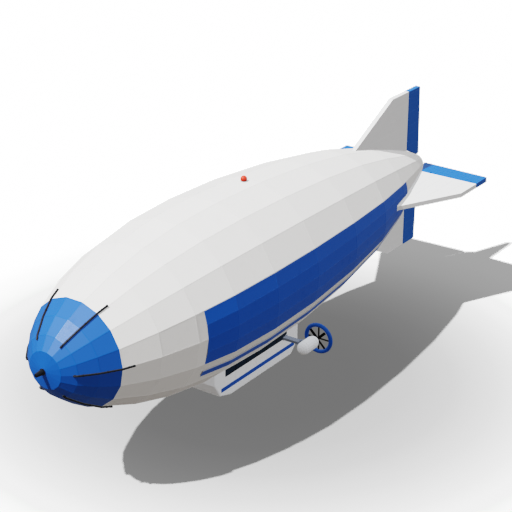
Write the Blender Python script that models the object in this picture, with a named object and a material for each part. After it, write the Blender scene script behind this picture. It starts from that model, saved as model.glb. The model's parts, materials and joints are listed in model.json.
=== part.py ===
"""Airship, modelled at 1:2 of its real size: envelope, nose, tail fins, gondola and two ducted pods.

Frame: metres, +Z up, the nose towards -Y, port towards +X.
The origin is on the envelope's axis at the centre of buoyancy, where the air holds the ship.
"""
import math

import bmesh
import bpy
from mathutils import Matrix, Vector

# Envelope: eighteen flat gores, so its section is a polygon with a corner at 0 degrees (port)
GORES = 18
SHELL = 0.010          # the envelope's skin, as ordered
GAP = 0.0003           # between pieces that touch
# Columns: y, corner radius. Nose first.
PROFILE = [
    (-13.516, 0.000),
    (-13.352, 0.802),
    (-12.949, 1.319),
    (-12.289, 1.861),
    (-11.529, 2.339),
    (-9.874, 2.974),
    (-8.085, 3.436),
    (-5.838, 3.751),
    (-3.146, 3.856),
    (0.055, 3.772),
    (3.725, 3.452),
    (7.140, 2.940),
    (10.080, 2.218),
    (12.390, 1.512),
    (14.070, 0.945),
    (14.994, 0.500),
    (15.414, 0.000),
]
CAP_RIM = 4            # the row of PROFILE where the blue nose cap ends

# Nose rods and spindle
ROD_R = 0.040
ROD_Y = (-13.065, -11.060)
ROD_ANGLES = [0, 60, 120, 180, 240, 300]
SPINDLE_TIP_Y = -13.902
SPINDLE_TIP_R = 0.050
SPINDLE_BASE_R = 0.125

# Painted side panels and stripes, laid on the gores
PANEL_Y = (-7.581, 10.740)
PANEL_ANGLES = [-20, -10, 0, 10, 19.6]
STRIPE_Y = (-7.480, 10.600)
STRIPE_ANGLES = [-32.2, -27.8]
PAINT_PROUD = 0.012    # beyond the gores' corners, for both

BEACON_Y = -0.315
BEACON_R = 0.150
BEACON_LIFT = 0.110    # ball's centre above the top gore

# Tail, drawn for the top fin and turned about Y for the others
FIN_T = 0.210
SURFACE_T = 0.240      # rudders and elevators stand a little proud of the fins
FIN_TIP = 4.200        # from the axis
FIN_LE_TIP_Y = 12.267
FIN_TE_Y = 13.860
FIN_LE_SLOPE = 0.497
SURFACE_TE_Y = 14.952
COVE_R = SURFACE_T / 2 + 0.005
FIN_LIP = 0.005        # thickness of the fin's lips beside the cove
HINGE_Y = FIN_TE_Y + math.sqrt(COVE_R ** 2 - (FIN_T / 2 - FIN_LIP) ** 2)
# Root edge of a control surface, just clear of the envelope. Columns: y, height from the axis
SURFACE_ROOT = [(13.500, 1.190), (14.070, 0.965), (14.952, 0.552)]
LUG_SPANS = [1.55, 2.70, 3.85]
LUG_W = 0.040
LUG_R = 0.045
PIN_R = 0.012
SLOT_W = 0.052
# Columns: fin name, control surface name, turn about Y in degrees
TAIL = [
    ("fin_top", "rudder_top", 0),
    ("fin_port", "elevator_port", 90),
    ("fin_bottom", "rudder_bottom", 180),
    ("fin_starboard", "elevator_starboard", 270),
]

# Gondola
CAR_HALF = 0.840
CAR_WALL = 0.025
CAR_BEVEL = 0.060
CAR_SIDE = [
    (-3.738, -3.000),
    (-3.738, -4.750),
    (-3.322, -5.430),
    (-2.533, -5.660),
    (2.293, -5.660),
    (2.642, -5.330),
    (2.856, -5.080),
    (2.856, -3.000),
]
CAR_SPLIT_Z = -5.137
CAR_SPLIT_Y = -3.360
CAR_STRIPE_Y = (-3.238, 2.520)
CAR_STRIPE_Z = (-5.256, -5.083)
CAR_STRIPE_T = 0.004
FLOOR_Z = -5.300
FLOOR_T = 0.020

WINDOW_Z = (-4.560, -3.980)
WINDOW_Y = (-2.925, 1.900)
SCREEN_Z = (-4.330, -3.960)
GLASS_T = 0.008
GLASS_LAP = 0.030
# Columns: first y, last y of each opening in the port wall
PORT_WINDOWS = [(-2.89, -2.17), (-2.11, -1.37), (-1.31, -0.57), (-0.51, 0.23), (0.29, 1.03), (1.09, 1.61)]
STARBOARD_WINDOWS = [(-2.89, -2.17), (-2.11, -1.37), (-1.31, -0.57), (-0.51, 0.23), (1.24, 1.61)]

DOOR_Y = (0.600, 1.060)
DOOR_Z = (-5.080, -4.060)
DOOR_GAP = 0.006
DOOR_WINDOW_Z = (-4.600, -4.160)
DOOR_AXIS = (-0.860, 0.585)
DOOR_ROD_R = 0.006
DOOR_SLEEVE_R = 0.012
DOOR_SLEEVES = [-4.880, -4.260]

# Pods: outrigger, nacelle, duct, stator and propeller
POD_X = 2.142
POD_Y = 1.873
POD_Z = -4.574
STRUT_R = 0.105
FOOT_R = 0.150
STRUT_END = 1.700
SPIGOT_R = 0.060
SPIGOT_END = 1.950
BOSS_R = 0.125
NACELLE_R = 0.311
NACELLE_Y = (1.090, 2.430)
DUCT_Y = 2.646
DUCT_R = 0.672
DUCT_TUBE = 0.095
PROP_Y = 2.530
PROP_TIP = 0.560
PROP_HUB_R = 0.080
SHAFT_R = 0.030
# Square-tipped paddle. Columns: radius, half chord, half thickness, pitch in degrees
BLADE = [
    (0.050, 0.036, 0.016, 50),
    (0.160, 0.056, 0.014, 41),
    (0.360, 0.062, 0.011, 31),
    (PROP_TIP - 0.010, 0.060, 0.008, 25),
    (PROP_TIP, 0.054, 0.005, 25),
]
SIDES = [("port", 1), ("starboard", -1)]


def srgb(r, g, b):
    """Linear colour of an 8-bit screen colour."""
    out = []
    for value in (r, g, b):
        value = value / 255
        out.append(value / 12.92 if value <= 0.04045 else ((value + 0.055) / 1.055) ** 2.4)
    return (*out, 1.0)


# Columns: name, screen colour, roughness, metallic
PAINTS = {
    "envelope_white": (srgb(232, 232, 230), 0.55, 0.0),
    "cap_blue": (srgb(36, 112, 196), 0.45, 0.0),
    "panel_blue": (srgb(22, 72, 160), 0.50, 0.0),
    "tail_blue": (srgb(26, 84, 176), 0.45, 0.0),
    "tail_white": (srgb(226, 227, 226), 0.50, 0.0),
    "rod_black": (srgb(26, 28, 34), 0.50, 0.0),
    "spindle_dark": (srgb(30, 34, 42), 0.40, 0.6),
    "beacon_red": (srgb(240, 60, 36), 0.30, 0.0),
    "car_white": (srgb(222, 223, 225), 0.40, 0.0),
    "car_glass": (srgb(16, 20, 28), 0.12, 0.0),
    "car_grey": (srgb(110, 114, 120), 0.70, 0.0),
    "steel": (srgb(110, 120, 138), 0.40, 0.8),
    "nacelle_grey": (srgb(206, 208, 212), 0.40, 0.0),
    "duct_blue": (srgb(12, 62, 158), 0.40, 0.0),
    "blade_black": (srgb(18, 19, 22), 0.45, 0.0),
}


def paint(name):
    """The material of that name, made on first use."""
    found = bpy.data.materials.get(name)
    if found:
        return found
    colour, rough, metal = PAINTS[name]
    material = bpy.data.materials.new(name)
    material.use_nodes = True
    shader = material.node_tree.nodes["Principled BSDF"]
    shader.inputs["Base Color"].default_value = colour
    shader.inputs["Roughness"].default_value = rough
    shader.inputs["Metallic"].default_value = metal
    return material


def finish(name, bm, material, smooth=False):
    """Turn a bmesh into a named object with its normals facing out."""
    bmesh.ops.recalc_face_normals(bm, faces=bm.faces[:])
    mesh = bpy.data.meshes.new(name)
    bm.to_mesh(mesh)
    bm.free()
    for polygon in mesh.polygons:
        polygon.use_smooth = smooth
    item = bpy.data.objects.new(name, mesh)
    bpy.context.scene.collection.objects.link(item)
    if material:
        mesh.materials.append(paint(material))
    else:
        item.hide_render = True
        item.display_type = "WIRE"
    return item


def boolean(item, other, operation):
    """Cut or join with another body, which is kept out of the render."""
    change = item.modifiers.new(other.name, "BOOLEAN")
    change.operation = operation
    change.solver = "EXACT"
    change.object = other


def prism(name, outline, low, high, axis, material=None, smooth=False):
    """Solid with a flat outline, run from low to high along one axis.

    The outline's two columns are the other two axes in X, Y, Z order.
    """
    bm = bmesh.new()
    order = {"X": (1, 2, 0), "Y": (0, 2, 1), "Z": (0, 1, 2)}[axis]
    rings = []
    for level in (low, high):
        ring = []
        for a, b in outline:
            point = [0.0, 0.0, 0.0]
            point[order[0]] = a
            point[order[1]] = b
            point[order[2]] = level
            ring.append(bm.verts.new(point))
        rings.append(ring)
    count = len(outline)
    bm.faces.new(rings[0])
    bm.faces.new(rings[1])
    for i in range(count):
        j = (i + 1) % count
        bm.faces.new((rings[0][i], rings[0][j], rings[1][j], rings[1][i]))
    return finish(name, bm, material, smooth)


def box(name, low, high, material=None):
    """Plain box between two corners."""
    outline = [(low[0], low[1]), (high[0], low[1]), (high[0], high[1]), (low[0], high[1])]
    return prism(name, outline, low[2], high[2], "Z", material)


def lathe(name, outline, segments, centre, axis, material=None, smooth=True):
    """Round solid from (distance along the axis, radius) rows whose ends lie on the axis.

    A flat end, where the last two rows share a distance, is one face.
    """
    bm = bmesh.new()
    along = {"X": Vector((1, 0, 0)), "Y": Vector((0, 1, 0)), "Z": Vector((0, 0, 1))}[axis]
    side = Vector((0, 0, 1)) if axis != "Z" else Vector((1, 0, 0))
    third = along.cross(side)
    centre = Vector(centre)
    rings = []
    flat_start = abs(outline[0][0] - outline[1][0]) < 1e-9
    flat_end = abs(outline[-1][0] - outline[-2][0]) < 1e-9
    if flat_start:
        outline = outline[1:]
    if flat_end:
        outline = outline[:-1]
    for distance, radius in outline:
        if radius < 1e-9:
            rings.append([bm.verts.new(centre + along * distance)])
            continue
        ring = []
        for k in range(segments):
            turn = 2 * math.pi * k / segments
            offset = side * math.cos(turn) + third * math.sin(turn)
            ring.append(bm.verts.new(centre + along * distance + offset * radius))
        rings.append(ring)
    for first, second in zip(rings, rings[1:]):
        for k in range(segments):
            n = (k + 1) % segments
            corners = []
            for corner in (first[k % len(first)], first[n % len(first)],
                           second[n % len(second)], second[k % len(second)]):
                if corner not in corners:
                    corners.append(corner)
            bm.faces.new(corners)
    if flat_start:
        bm.faces.new(rings[0])
    if flat_end:
        bm.faces.new(rings[-1])
    return finish(name, bm, material, smooth)


def cylinder(name, centre, axis, low, high, radius, segments=24, material=None, smooth=True):
    """Round bar along one axis."""
    rows = [(low, 0.0), (low, radius), (high, radius), (high, 0.0)]
    return lathe(name, rows, segments, centre, axis, material, smooth)


def offset_profile(rows, distance, start, end):
    """Move a (y, r) line outwards by a distance; each end stays on the axis, in its plane or square."""
    normals = []
    for (y0, r0), (y1, r1) in zip(rows, rows[1:]):
        length = math.hypot(y1 - y0, r1 - r0)
        normals.append((-(r1 - r0) / length, (y1 - y0) / length))
    moved = []
    for i, (y, r) in enumerate(rows):
        if 0 < i < len(rows) - 1:
            (a, b), (c, d) = normals[i - 1], normals[i]
            scale = distance / (1 + a * c + b * d)
            moved.append((y + (a + c) * scale, r + (b + d) * scale))
            continue
        a, b = normals[0] if i == 0 else normals[-1]
        mode = start if i == 0 else end
        if mode == "axis":
            moved.append((y + distance / a, 0.0))
        elif mode == "plane":
            moved.append((y, r + distance / b))
        else:
            moved.append((y + a * distance, r + b * distance))
    return moved


FLAT = math.cos(math.pi / GORES)      # flat radius of the section over its corner radius


def hull_rows(first, last, distance, start, end):
    """Corner radii of PROFILE rows first..last, moved outwards square to the gores."""
    flats = [(y, r * FLAT) for y, r in PROFILE[first:last + 1]]
    return [(y, r / FLAT) for y, r in offset_profile(flats, distance, start, end)]


def row_at(rows, y):
    """Radius of a (y, r) line at y."""
    for (y0, r0), (y1, r1) in zip(rows, rows[1:]):
        if y0 <= y <= y1:
            return r0 + (r1 - r0) * (y - y0) / (y1 - y0)
    return rows[-1][1]


def gore_rings(bm, rows):
    """Rings of corners for a (y, r) line."""
    rings = []
    for y, r in rows:
        if r < 1e-9:
            rings.append([bm.verts.new((0, y, 0))])
            continue
        ring = []
        for k in range(GORES):
            turn = 2 * math.pi * k / GORES
            ring.append(bm.verts.new((r * math.cos(turn), y, r * math.sin(turn))))
        rings.append(ring)
    return rings


def skin(bm, rings):
    """Faces between rings; a ring of one corner makes triangles."""
    for first, second in zip(rings, rings[1:]):
        for k in range(GORES):
            n = (k + 1) % GORES
            corners = []
            for corner in (first[k % len(first)], first[n % len(first)],
                           second[n % len(second)], second[k % len(second)]):
                if corner not in corners:
                    corners.append(corner)
            bm.faces.new(corners)


def shell(name, outer, inner, open_end, material):
    """Gored bowl: outer and inner skins joined by a flat rim at the open end."""
    bm = bmesh.new()
    outer_rings = gore_rings(bm, outer)
    inner_rings = gore_rings(bm, inner)
    skin(bm, outer_rings)
    skin(bm, inner_rings)
    skin(bm, [outer_rings[open_end], inner_rings[open_end]])
    return finish(name, bm, material)


def hull_cutter():
    """The whole envelope as one solid, a touch larger, to trim what sits on it."""
    bm = bmesh.new()
    last = len(PROFILE) - 1
    skin(bm, gore_rings(bm, hull_rows(0, last, GAP, "axis", "axis")))
    return finish("hull_cutter", bm, None)


def build_envelope():
    """Envelope shell, open at the rim where the nose cap closes it, and the cap."""
    last = len(PROFILE) - 1
    outer = hull_rows(CAP_RIM, last, 0.0, "plane", "axis")
    inner = hull_rows(CAP_RIM, last, -SHELL, "plane", "axis")
    y0, r0 = outer[0]
    y1, r1 = outer[1]
    lift = GAP / 2
    slope = (r1 - r0) / (y1 - y0)
    outer[0] = (y0 + lift, r0 + slope * lift)
    inner[0] = (y0 + lift, inner[0][1] + slope * lift)
    shell("envelope", outer, inner, 0, "envelope_white")
    outer = hull_rows(0, CAP_RIM, 0.0, "axis", "plane")
    inner = hull_rows(0, CAP_RIM, -SHELL, "axis", "plane")
    y0, r0 = outer[-2]
    y1, r1 = outer[-1]
    slope = (r1 - r0) / (y1 - y0)
    outer[-1] = (y1 - lift, r1 - slope * lift)
    inner[-1] = (y1 - lift, inner[-1][1] - slope * lift)
    shell("nose_cap", outer, inner, -1, "cap_blue")


def build_nose(hull):
    """Six rods that stiffen the nose, and the spindle that docks to a mast."""
    segments = 8
    rows = [(ROD_Y[0], row_at(PROFILE, ROD_Y[0]))]
    rows += [(y, r) for y, r in PROFILE if ROD_Y[0] < y < ROD_Y[1]]
    rows.append((ROD_Y[1], row_at(PROFILE, ROD_Y[1])))
    for number, angle in enumerate(ROD_ANGLES, 1):
        turn = math.radians(angle)
        out = Vector((math.cos(turn), 0, math.sin(turn)))
        side = Vector((-math.sin(turn), 0, math.cos(turn)))
        bm = bmesh.new()
        strings = []
        seat = ROD_R * math.cos(math.pi / segments) + GAP
        for k in range(segments):
            phi = 2 * math.pi * (k + 0.5) / segments
            line = offset_profile(rows, seat + ROD_R * math.cos(phi), "square", "square")
            shift = side * (ROD_R * math.sin(phi))
            strings.append([bm.verts.new(out * r + Vector((0, y, 0)) + shift) for y, r in line])
        for k in range(segments):
            a, b = strings[k], strings[(k + 1) % segments]
            for i in range(len(rows) - 1):
                bm.faces.new((a[i], a[i + 1], b[i + 1], b[i]))
        bm.faces.new([line[0] for line in strings])
        bm.faces.new([line[-1] for line in strings])
        finish("nose_rod_%d" % number, bm, "rod_black", True)
    base = -PROFILE[0][0] - 0.10
    rows = [(-base, 0.0), (-base, SPINDLE_BASE_R), (SPINDLE_TIP_Y + 0.02, SPINDLE_TIP_R + 0.004),
            (SPINDLE_TIP_Y, SPINDLE_TIP_R), (SPINDLE_TIP_Y, 0.0)]
    spindle = lathe("mooring_spindle", rows, 24, (0, 0, 0), "Y", "spindle_dark")
    boolean(spindle, hull, "DIFFERENCE")


def strip_body(name, ys, columns, material):
    """Closed strip on the gores: columns give (angle, inner radius, outer radius) as functions of y."""
    bm = bmesh.new()
    grids = []
    for which in (1, 2):
        grid = []
        for y in ys:
            row = []
            for column in columns:
                turn = math.radians(column[0])
                radius = column[which](y)
                row.append(bm.verts.new((radius * math.cos(turn), y, radius * math.sin(turn))))
            grid.append(row)
        grids.append(grid)
    inner, outer = grids
    rows = len(ys)
    wide = len(columns)
    for grid in grids:
        for i in range(rows - 1):
            for j in range(wide - 1):
                bm.faces.new((grid[i][j], grid[i][j + 1], grid[i + 1][j + 1], grid[i + 1][j]))
    for i in (0, rows - 1):
        for j in range(wide - 1):
            bm.faces.new((inner[i][j], inner[i][j + 1], outer[i][j + 1], outer[i][j]))
    for j in (0, wide - 1):
        for i in range(rows - 1):
            bm.faces.new((inner[i][j], inner[i + 1][j], outer[i + 1][j], outer[i][j]))
    return finish(name, bm, material)


def gore_share(degrees):
    """Radius of the gored section at an angle, over its corner radius."""
    gore = 360 / GORES
    return FLAT / math.cos(math.radians(degrees % gore - gore / 2))


def build_side_paint():
    """Blue panels and stripes on both flanks, rounder than the gores; the side fins stand on the panels."""
    last = len(PROFILE) - 1
    touching = hull_rows(0, last, GAP, "axis", "axis")
    proud = hull_rows(0, last, GAP + PAINT_PROUD, "axis", "axis")
    clear = hull_rows(0, last, GAP * 2 + PAINT_PROUD, "axis", "axis")

    def stations(first, last):
        """The ends and the envelope's own rings between them."""
        return [first] + [y for y, r in touching if first + 0.02 < y < last - 0.02] + [last]

    def columns(base, sign, angles, inner_share, outer):
        """Columns of a strip: each angle with its inner and outer radius."""
        made = []
        for angle in angles:
            share = inner_share or gore_share(angle)
            made.append((
                base + sign * angle,
                lambda y, s=share: row_at(touching, y) * s,
                lambda y: row_at(outer, y),
            ))
        return made

    ys = stations(*PANEL_Y)
    around = [PANEL_ANGLES[0] - 1] + PANEL_ANGLES[1:-1] + [PANEL_ANGLES[-1] + 1]
    for side, sign in SIDES:
        base = 0 if sign > 0 else 180
        strip_body("side_panel_" + side, ys, columns(base, sign, PANEL_ANGLES, None, proud), "panel_blue")
        ends = [ys[0] - GAP] + ys[1:-1] + [ys[-1] + GAP]
        saddle = strip_body("saddle_" + side, ends, columns(base, sign, around, 0.8, clear), None)
        boolean(bpy.data.objects["fin_" + side], saddle, "DIFFERENCE")
        strip_body("stripe_" + side, stations(*STRIPE_Y), columns(base, sign, STRIPE_ANGLES, None, proud),
                   "panel_blue")


def build_beacon(hull):
    """Red lamp on the top gore."""
    height = row_at(PROFILE, BEACON_Y) * FLAT + BEACON_LIFT
    rows = []
    for k in range(9):
        turn = math.pi * k / 8
        rows.append((-BEACON_R * math.cos(turn), BEACON_R * math.sin(turn) if 0 < k < 8 else 0.0))
    beacon = lathe("beacon", rows, 16, (0, BEACON_Y, height), "Z", "beacon_red")
    boolean(beacon, hull, "DIFFERENCE")


def pivot(item, point, riders=()):
    """Put a moving piece's origin on its joint's axis and hang what rides on it from it."""
    item.data.transform(Matrix.Translation(-Vector(point)))
    item.location = point
    for rider in riders:
        rider.parent = item
        rider.matrix_parent_inverse = Matrix.Translation(-Vector(point))


def turned(item, degrees):
    """Turn an object's mesh about the ship's axis."""
    if degrees:
        item.data.transform(Matrix.Rotation(math.radians(degrees), 4, "Y"))


def build_tail(hull):
    """Four fins, each with a control surface on three lugs."""
    root_y = FIN_LE_TIP_Y - (FIN_TIP - 1.2) / FIN_LE_SLOPE
    fin_outline = [
        (root_y, 0.30),
        (root_y, 1.20),
        (FIN_LE_TIP_Y, FIN_TIP),
        (FIN_TE_Y, FIN_TIP),
        (FIN_TE_Y, 0.30),
    ]
    half = FIN_T / 2
    nose_r = SURFACE_T / 2
    under = [(SURFACE_ROOT[0][0], 0.0)] + SURFACE_ROOT
    under += [(SURFACE_TE_Y + 0.3, SURFACE_ROOT[-1][1]), (SURFACE_TE_Y + 0.3, 0.0)]
    for fin_name, surface_name, degrees in TAIL:
        fin = prism(fin_name, fin_outline, -half, half, "X", "tail_white")
        cove = cylinder(fin_name + "_cove", (0, HINGE_Y, 0), "Z", 0.1, 5.0, COVE_R, 46)
        turned(fin, degrees)
        turned(cove, degrees)
        boolean(fin, cove, "DIFFERENCE")
        nose = []
        for k in range(13):
            turn = math.pi * k / 12
            nose.append((nose_r * math.cos(turn), HINGE_Y - nose_r * math.sin(turn)))
        outline = nose + [(-nose_r, SURFACE_TE_Y), (nose_r, SURFACE_TE_Y)]
        surface = prism(surface_name, outline, 0.40, FIN_TIP, "Z", "tail_blue")
        root_cut = prism(surface_name + "_root", under, -0.5, 0.5, "X")
        turned(surface, degrees)
        turned(root_cut, degrees)
        boolean(surface, root_cut, "DIFFERENCE")
        for number, span in enumerate(LUG_SPANS, 1):
            tag = "_%d" % number
            slot = box(surface_name + "_slot" + tag, (-0.2, HINGE_Y - 0.2, span - SLOT_W / 2),
                       (0.2, HINGE_Y + 0.052, span + SLOT_W / 2))
            pin = cylinder(surface_name + "_pin" + tag, (0, HINGE_Y, span), "Z", -SLOT_W / 2 - 0.02,
                           SLOT_W / 2 + 0.02, PIN_R, 16)
            lug_shape = [(-LUG_R, FIN_TE_Y - 0.09), (LUG_R, FIN_TE_Y - 0.09)]
            for k in range(9):
                turn = math.pi * k / 8
                lug_shape.append((LUG_R * math.cos(turn), HINGE_Y + LUG_R * math.sin(turn)))
            lug = prism(fin_name + "_lug" + tag, lug_shape, span - LUG_W / 2, span + LUG_W / 2, "Z")
            hole = cylinder(fin_name + "_hole" + tag, (0, HINGE_Y, span), "Z", -0.05, 0.05, PIN_R + 0.001, 16)
            for helper in (slot, pin, lug, hole):
                turned(helper, degrees)
            boolean(surface, slot, "DIFFERENCE")
            boolean(surface, pin, "UNION")
            boolean(fin, lug, "UNION")
            boolean(fin, hole, "DIFFERENCE")
        boolean(fin, hull, "DIFFERENCE")
        turn = math.radians(degrees)
        middle = LUG_SPANS[1]
        pivot(surface, (middle * math.sin(turn), HINGE_Y, middle * math.cos(turn)))


def inset_side(distance):
    """The gondola's side outline moved inwards; its top stays where it is."""
    count = len(CAR_SIDE)
    points = []
    for i in range(count):
        here = Vector(CAR_SIDE[i])
        before = Vector(CAR_SIDE[i - 1])
        after = Vector(CAR_SIDE[(i + 1) % count])
        a = (here - before).normalized()
        b = (after - here).normalized()
        na = Vector((-a.y, a.x))
        nb = Vector((-b.y, b.x))
        if i == 0:
            points.append((here.x + distance, here.y + 0.5))
        elif i == count - 1:
            points.append((here.x - distance, here.y + 0.5))
        else:
            points.append(tuple(here + (na + nb) * (distance / (1 + na.dot(nb)))))
    return points


def car_body(name, material):
    """Hollow gondola with bevelled edges between its sides and the rest."""
    item = prism(name, CAR_SIDE, -CAR_HALF, CAR_HALF, "X", material)
    bm = bmesh.new()
    bm.from_mesh(item.data)
    edges = []
    for edge in bm.edges:
        if abs(edge.verts[0].co.x - edge.verts[1].co.x) < 1e-6:
            edges.append(edge)
    bmesh.ops.bevel(bm, geom=edges, offset=CAR_BEVEL, affect="EDGES", segments=2, profile=0.5, material=-1)
    bmesh.ops.recalc_face_normals(bm, faces=bm.faces[:])
    bm.to_mesh(item.data)
    bm.free()
    return item


def build_gondola(hull):
    """Keel tub, cabin walls with windows and a door, nose fairing, floor and glass."""
    hollow = prism("car_hollow", inset_side(CAR_WALL), -CAR_HALF + CAR_WALL, CAR_HALF - CAR_WALL, "X")
    far = 6.0
    half = GAP / 2
    above = box("car_above", (-2, -far, CAR_SPLIT_Z - half), (2, far, -2))
    below = box("car_below", (-2, -far, -7), (2, far, CAR_SPLIT_Z + half))
    ahead = box("car_ahead", (-2, -far, -7), (2, CAR_SPLIT_Y + half, -2))
    behind = box("car_behind", (-2, CAR_SPLIT_Y - half, -7), (2, far, -2))

    keel = car_body("gondola_keel", "car_white")
    for cutter in (hollow, above):
        boolean(keel, cutter, "DIFFERENCE")
    nose = car_body("gondola_nose", "car_white")
    screen = box("screen_cut", (-0.62, -4.2, SCREEN_Z[0]), (0.62, -3.5, SCREEN_Z[1]))
    for cutter in (hollow, below, behind, screen, hull):
        boolean(nose, cutter, "DIFFERENCE")
    cabin = car_body("gondola_cabin", "car_white")
    for cutter in (hollow, below, ahead):
        boolean(cabin, cutter, "DIFFERENCE")
    low, high = WINDOW_Z
    for side, sign, windows in (("port", 1, PORT_WINDOWS), ("starboard", -1, STARBOARD_WINDOWS)):
        for number, (first, last) in enumerate(windows, 1):
            x = sorted((sign * 0.7, sign * 1.0))
            opening = box("window_%s_%d" % (side, number), (x[0], first, low), (x[1], last, high))
            boolean(cabin, opening, "DIFFERENCE")
    doorway = box("doorway", (-1.0, DOOR_Y[0] - DOOR_GAP, DOOR_Z[0] - DOOR_GAP),
                  (-0.7, DOOR_Y[1] + DOOR_GAP, DOOR_Z[1] + DOOR_GAP))
    boolean(cabin, doorway, "DIFFERENCE")
    boolean(cabin, hull, "DIFFERENCE")

    inner = CAR_HALF - CAR_WALL - GAP
    box("gondola_floor", (-inner, -3.20, FLOOR_Z), (inner, 2.56, FLOOR_Z + FLOOR_T), "car_grey")

    out = CAR_HALF + GAP
    glass = [
        ("window_glass_port", 1, WINDOW_Y[0], WINDOW_Y[1]),
        ("window_glass_starboard", -1, WINDOW_Y[0], 0.260),
        ("window_glass_aft", -1, 1.210, WINDOW_Y[1]),
    ]
    for name, sign, first, last in glass:
        x = sorted((sign * out, sign * (out + GLASS_T)))
        pane = box(name, (x[0], first, low - GLASS_LAP), (x[1], last, high + GLASS_LAP), "car_glass")
        if last == WINDOW_Y[1]:
            around = cylinder(name + "_foot", (0, POD_Y, POD_Z), "X", x[0] - 0.1, x[1] + 0.1, FOOT_R + 0.004)
            boolean(pane, around, "DIFFERENCE")
    front = -3.738 - GAP
    box("windscreen", (-0.65, front - GLASS_T, SCREEN_Z[0] - GLASS_LAP),
        (0.65, front, SCREEN_Z[1] + GLASS_LAP), "car_glass")
    for side, sign in SIDES:
        x = sorted((sign * out, sign * (out + CAR_STRIPE_T)))
        box("gondola_stripe_" + side, (x[0], CAR_STRIPE_Y[0], CAR_STRIPE_Z[0]),
            (x[1], CAR_STRIPE_Y[1], CAR_STRIPE_Z[1]), "panel_blue")
    build_door()


def build_door():
    """Door on the starboard side, on a rod with two sleeves, and its window."""
    inside = -CAR_HALF + CAR_WALL
    door = box("cabin_door", (-CAR_HALF, DOOR_Y[0], DOOR_Z[0]), (inside, DOOR_Y[1], DOOR_Z[1]), "car_white")
    pane = box("door_pane", (-1.0, DOOR_Y[0] + 0.07, DOOR_WINDOW_Z[0]),
               (-0.7, DOOR_Y[1] - 0.07, DOOR_WINDOW_Z[1]))
    boolean(door, pane, "DIFFERENCE")
    x, y = DOOR_AXIS
    for number, z in enumerate(DOOR_SLEEVES, 1):
        tag = "_%d" % number
        arm = box("door_arm" + tag, (x - 0.005, y, z - 0.03), (x + 0.005, DOOR_Y[0] + 0.05, z + 0.03))
        foot = box("door_foot" + tag, (x - 0.005, DOOR_Y[0] + 0.02, z - 0.03),
                   (-CAR_HALF + 0.01, DOOR_Y[0] + 0.05, z + 0.03))
        sleeve = cylinder("door_sleeve" + tag, (x, y, z), "Z", -0.04, 0.04, DOOR_SLEEVE_R, 16)
        bore = cylinder("door_bore" + tag, (x, y, z), "Z", -0.06, 0.06, DOOR_ROD_R + 0.0006, 16)
        boolean(door, arm, "UNION")
        boolean(door, foot, "UNION")
        boolean(door, sleeve, "UNION")
        boolean(door, bore, "DIFFERENCE")
    glass_x = -CAR_HALF - GAP
    glass = box("door_glass", (glass_x - 0.006, DOOR_Y[0] + 0.055, DOOR_WINDOW_Z[0] - 0.015),
                (glass_x, DOOR_Y[1] - 0.015, DOOR_WINDOW_Z[1] + 0.015), "car_glass")
    pivot(door, (x, y, (DOOR_Z[0] + DOOR_Z[1]) / 2), [glass])
    low = DOOR_SLEEVES[0] - 0.10
    high = DOOR_SLEEVES[-1] + 0.10
    rod = cylinder("door_hinge_rod", (x, y, 0), "Z", low, high, DOOR_ROD_R, 16, "steel")
    for number, z in enumerate((low + 0.01, (low + high) / 2, high - 0.01), 1):
        block = box("rod_block_%d" % number, (x - 0.012, y - 0.030, z - 0.02),
                    (-CAR_HALF - GAP, y + 0.008, z + 0.02))
        boolean(rod, block, "UNION")


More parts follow.
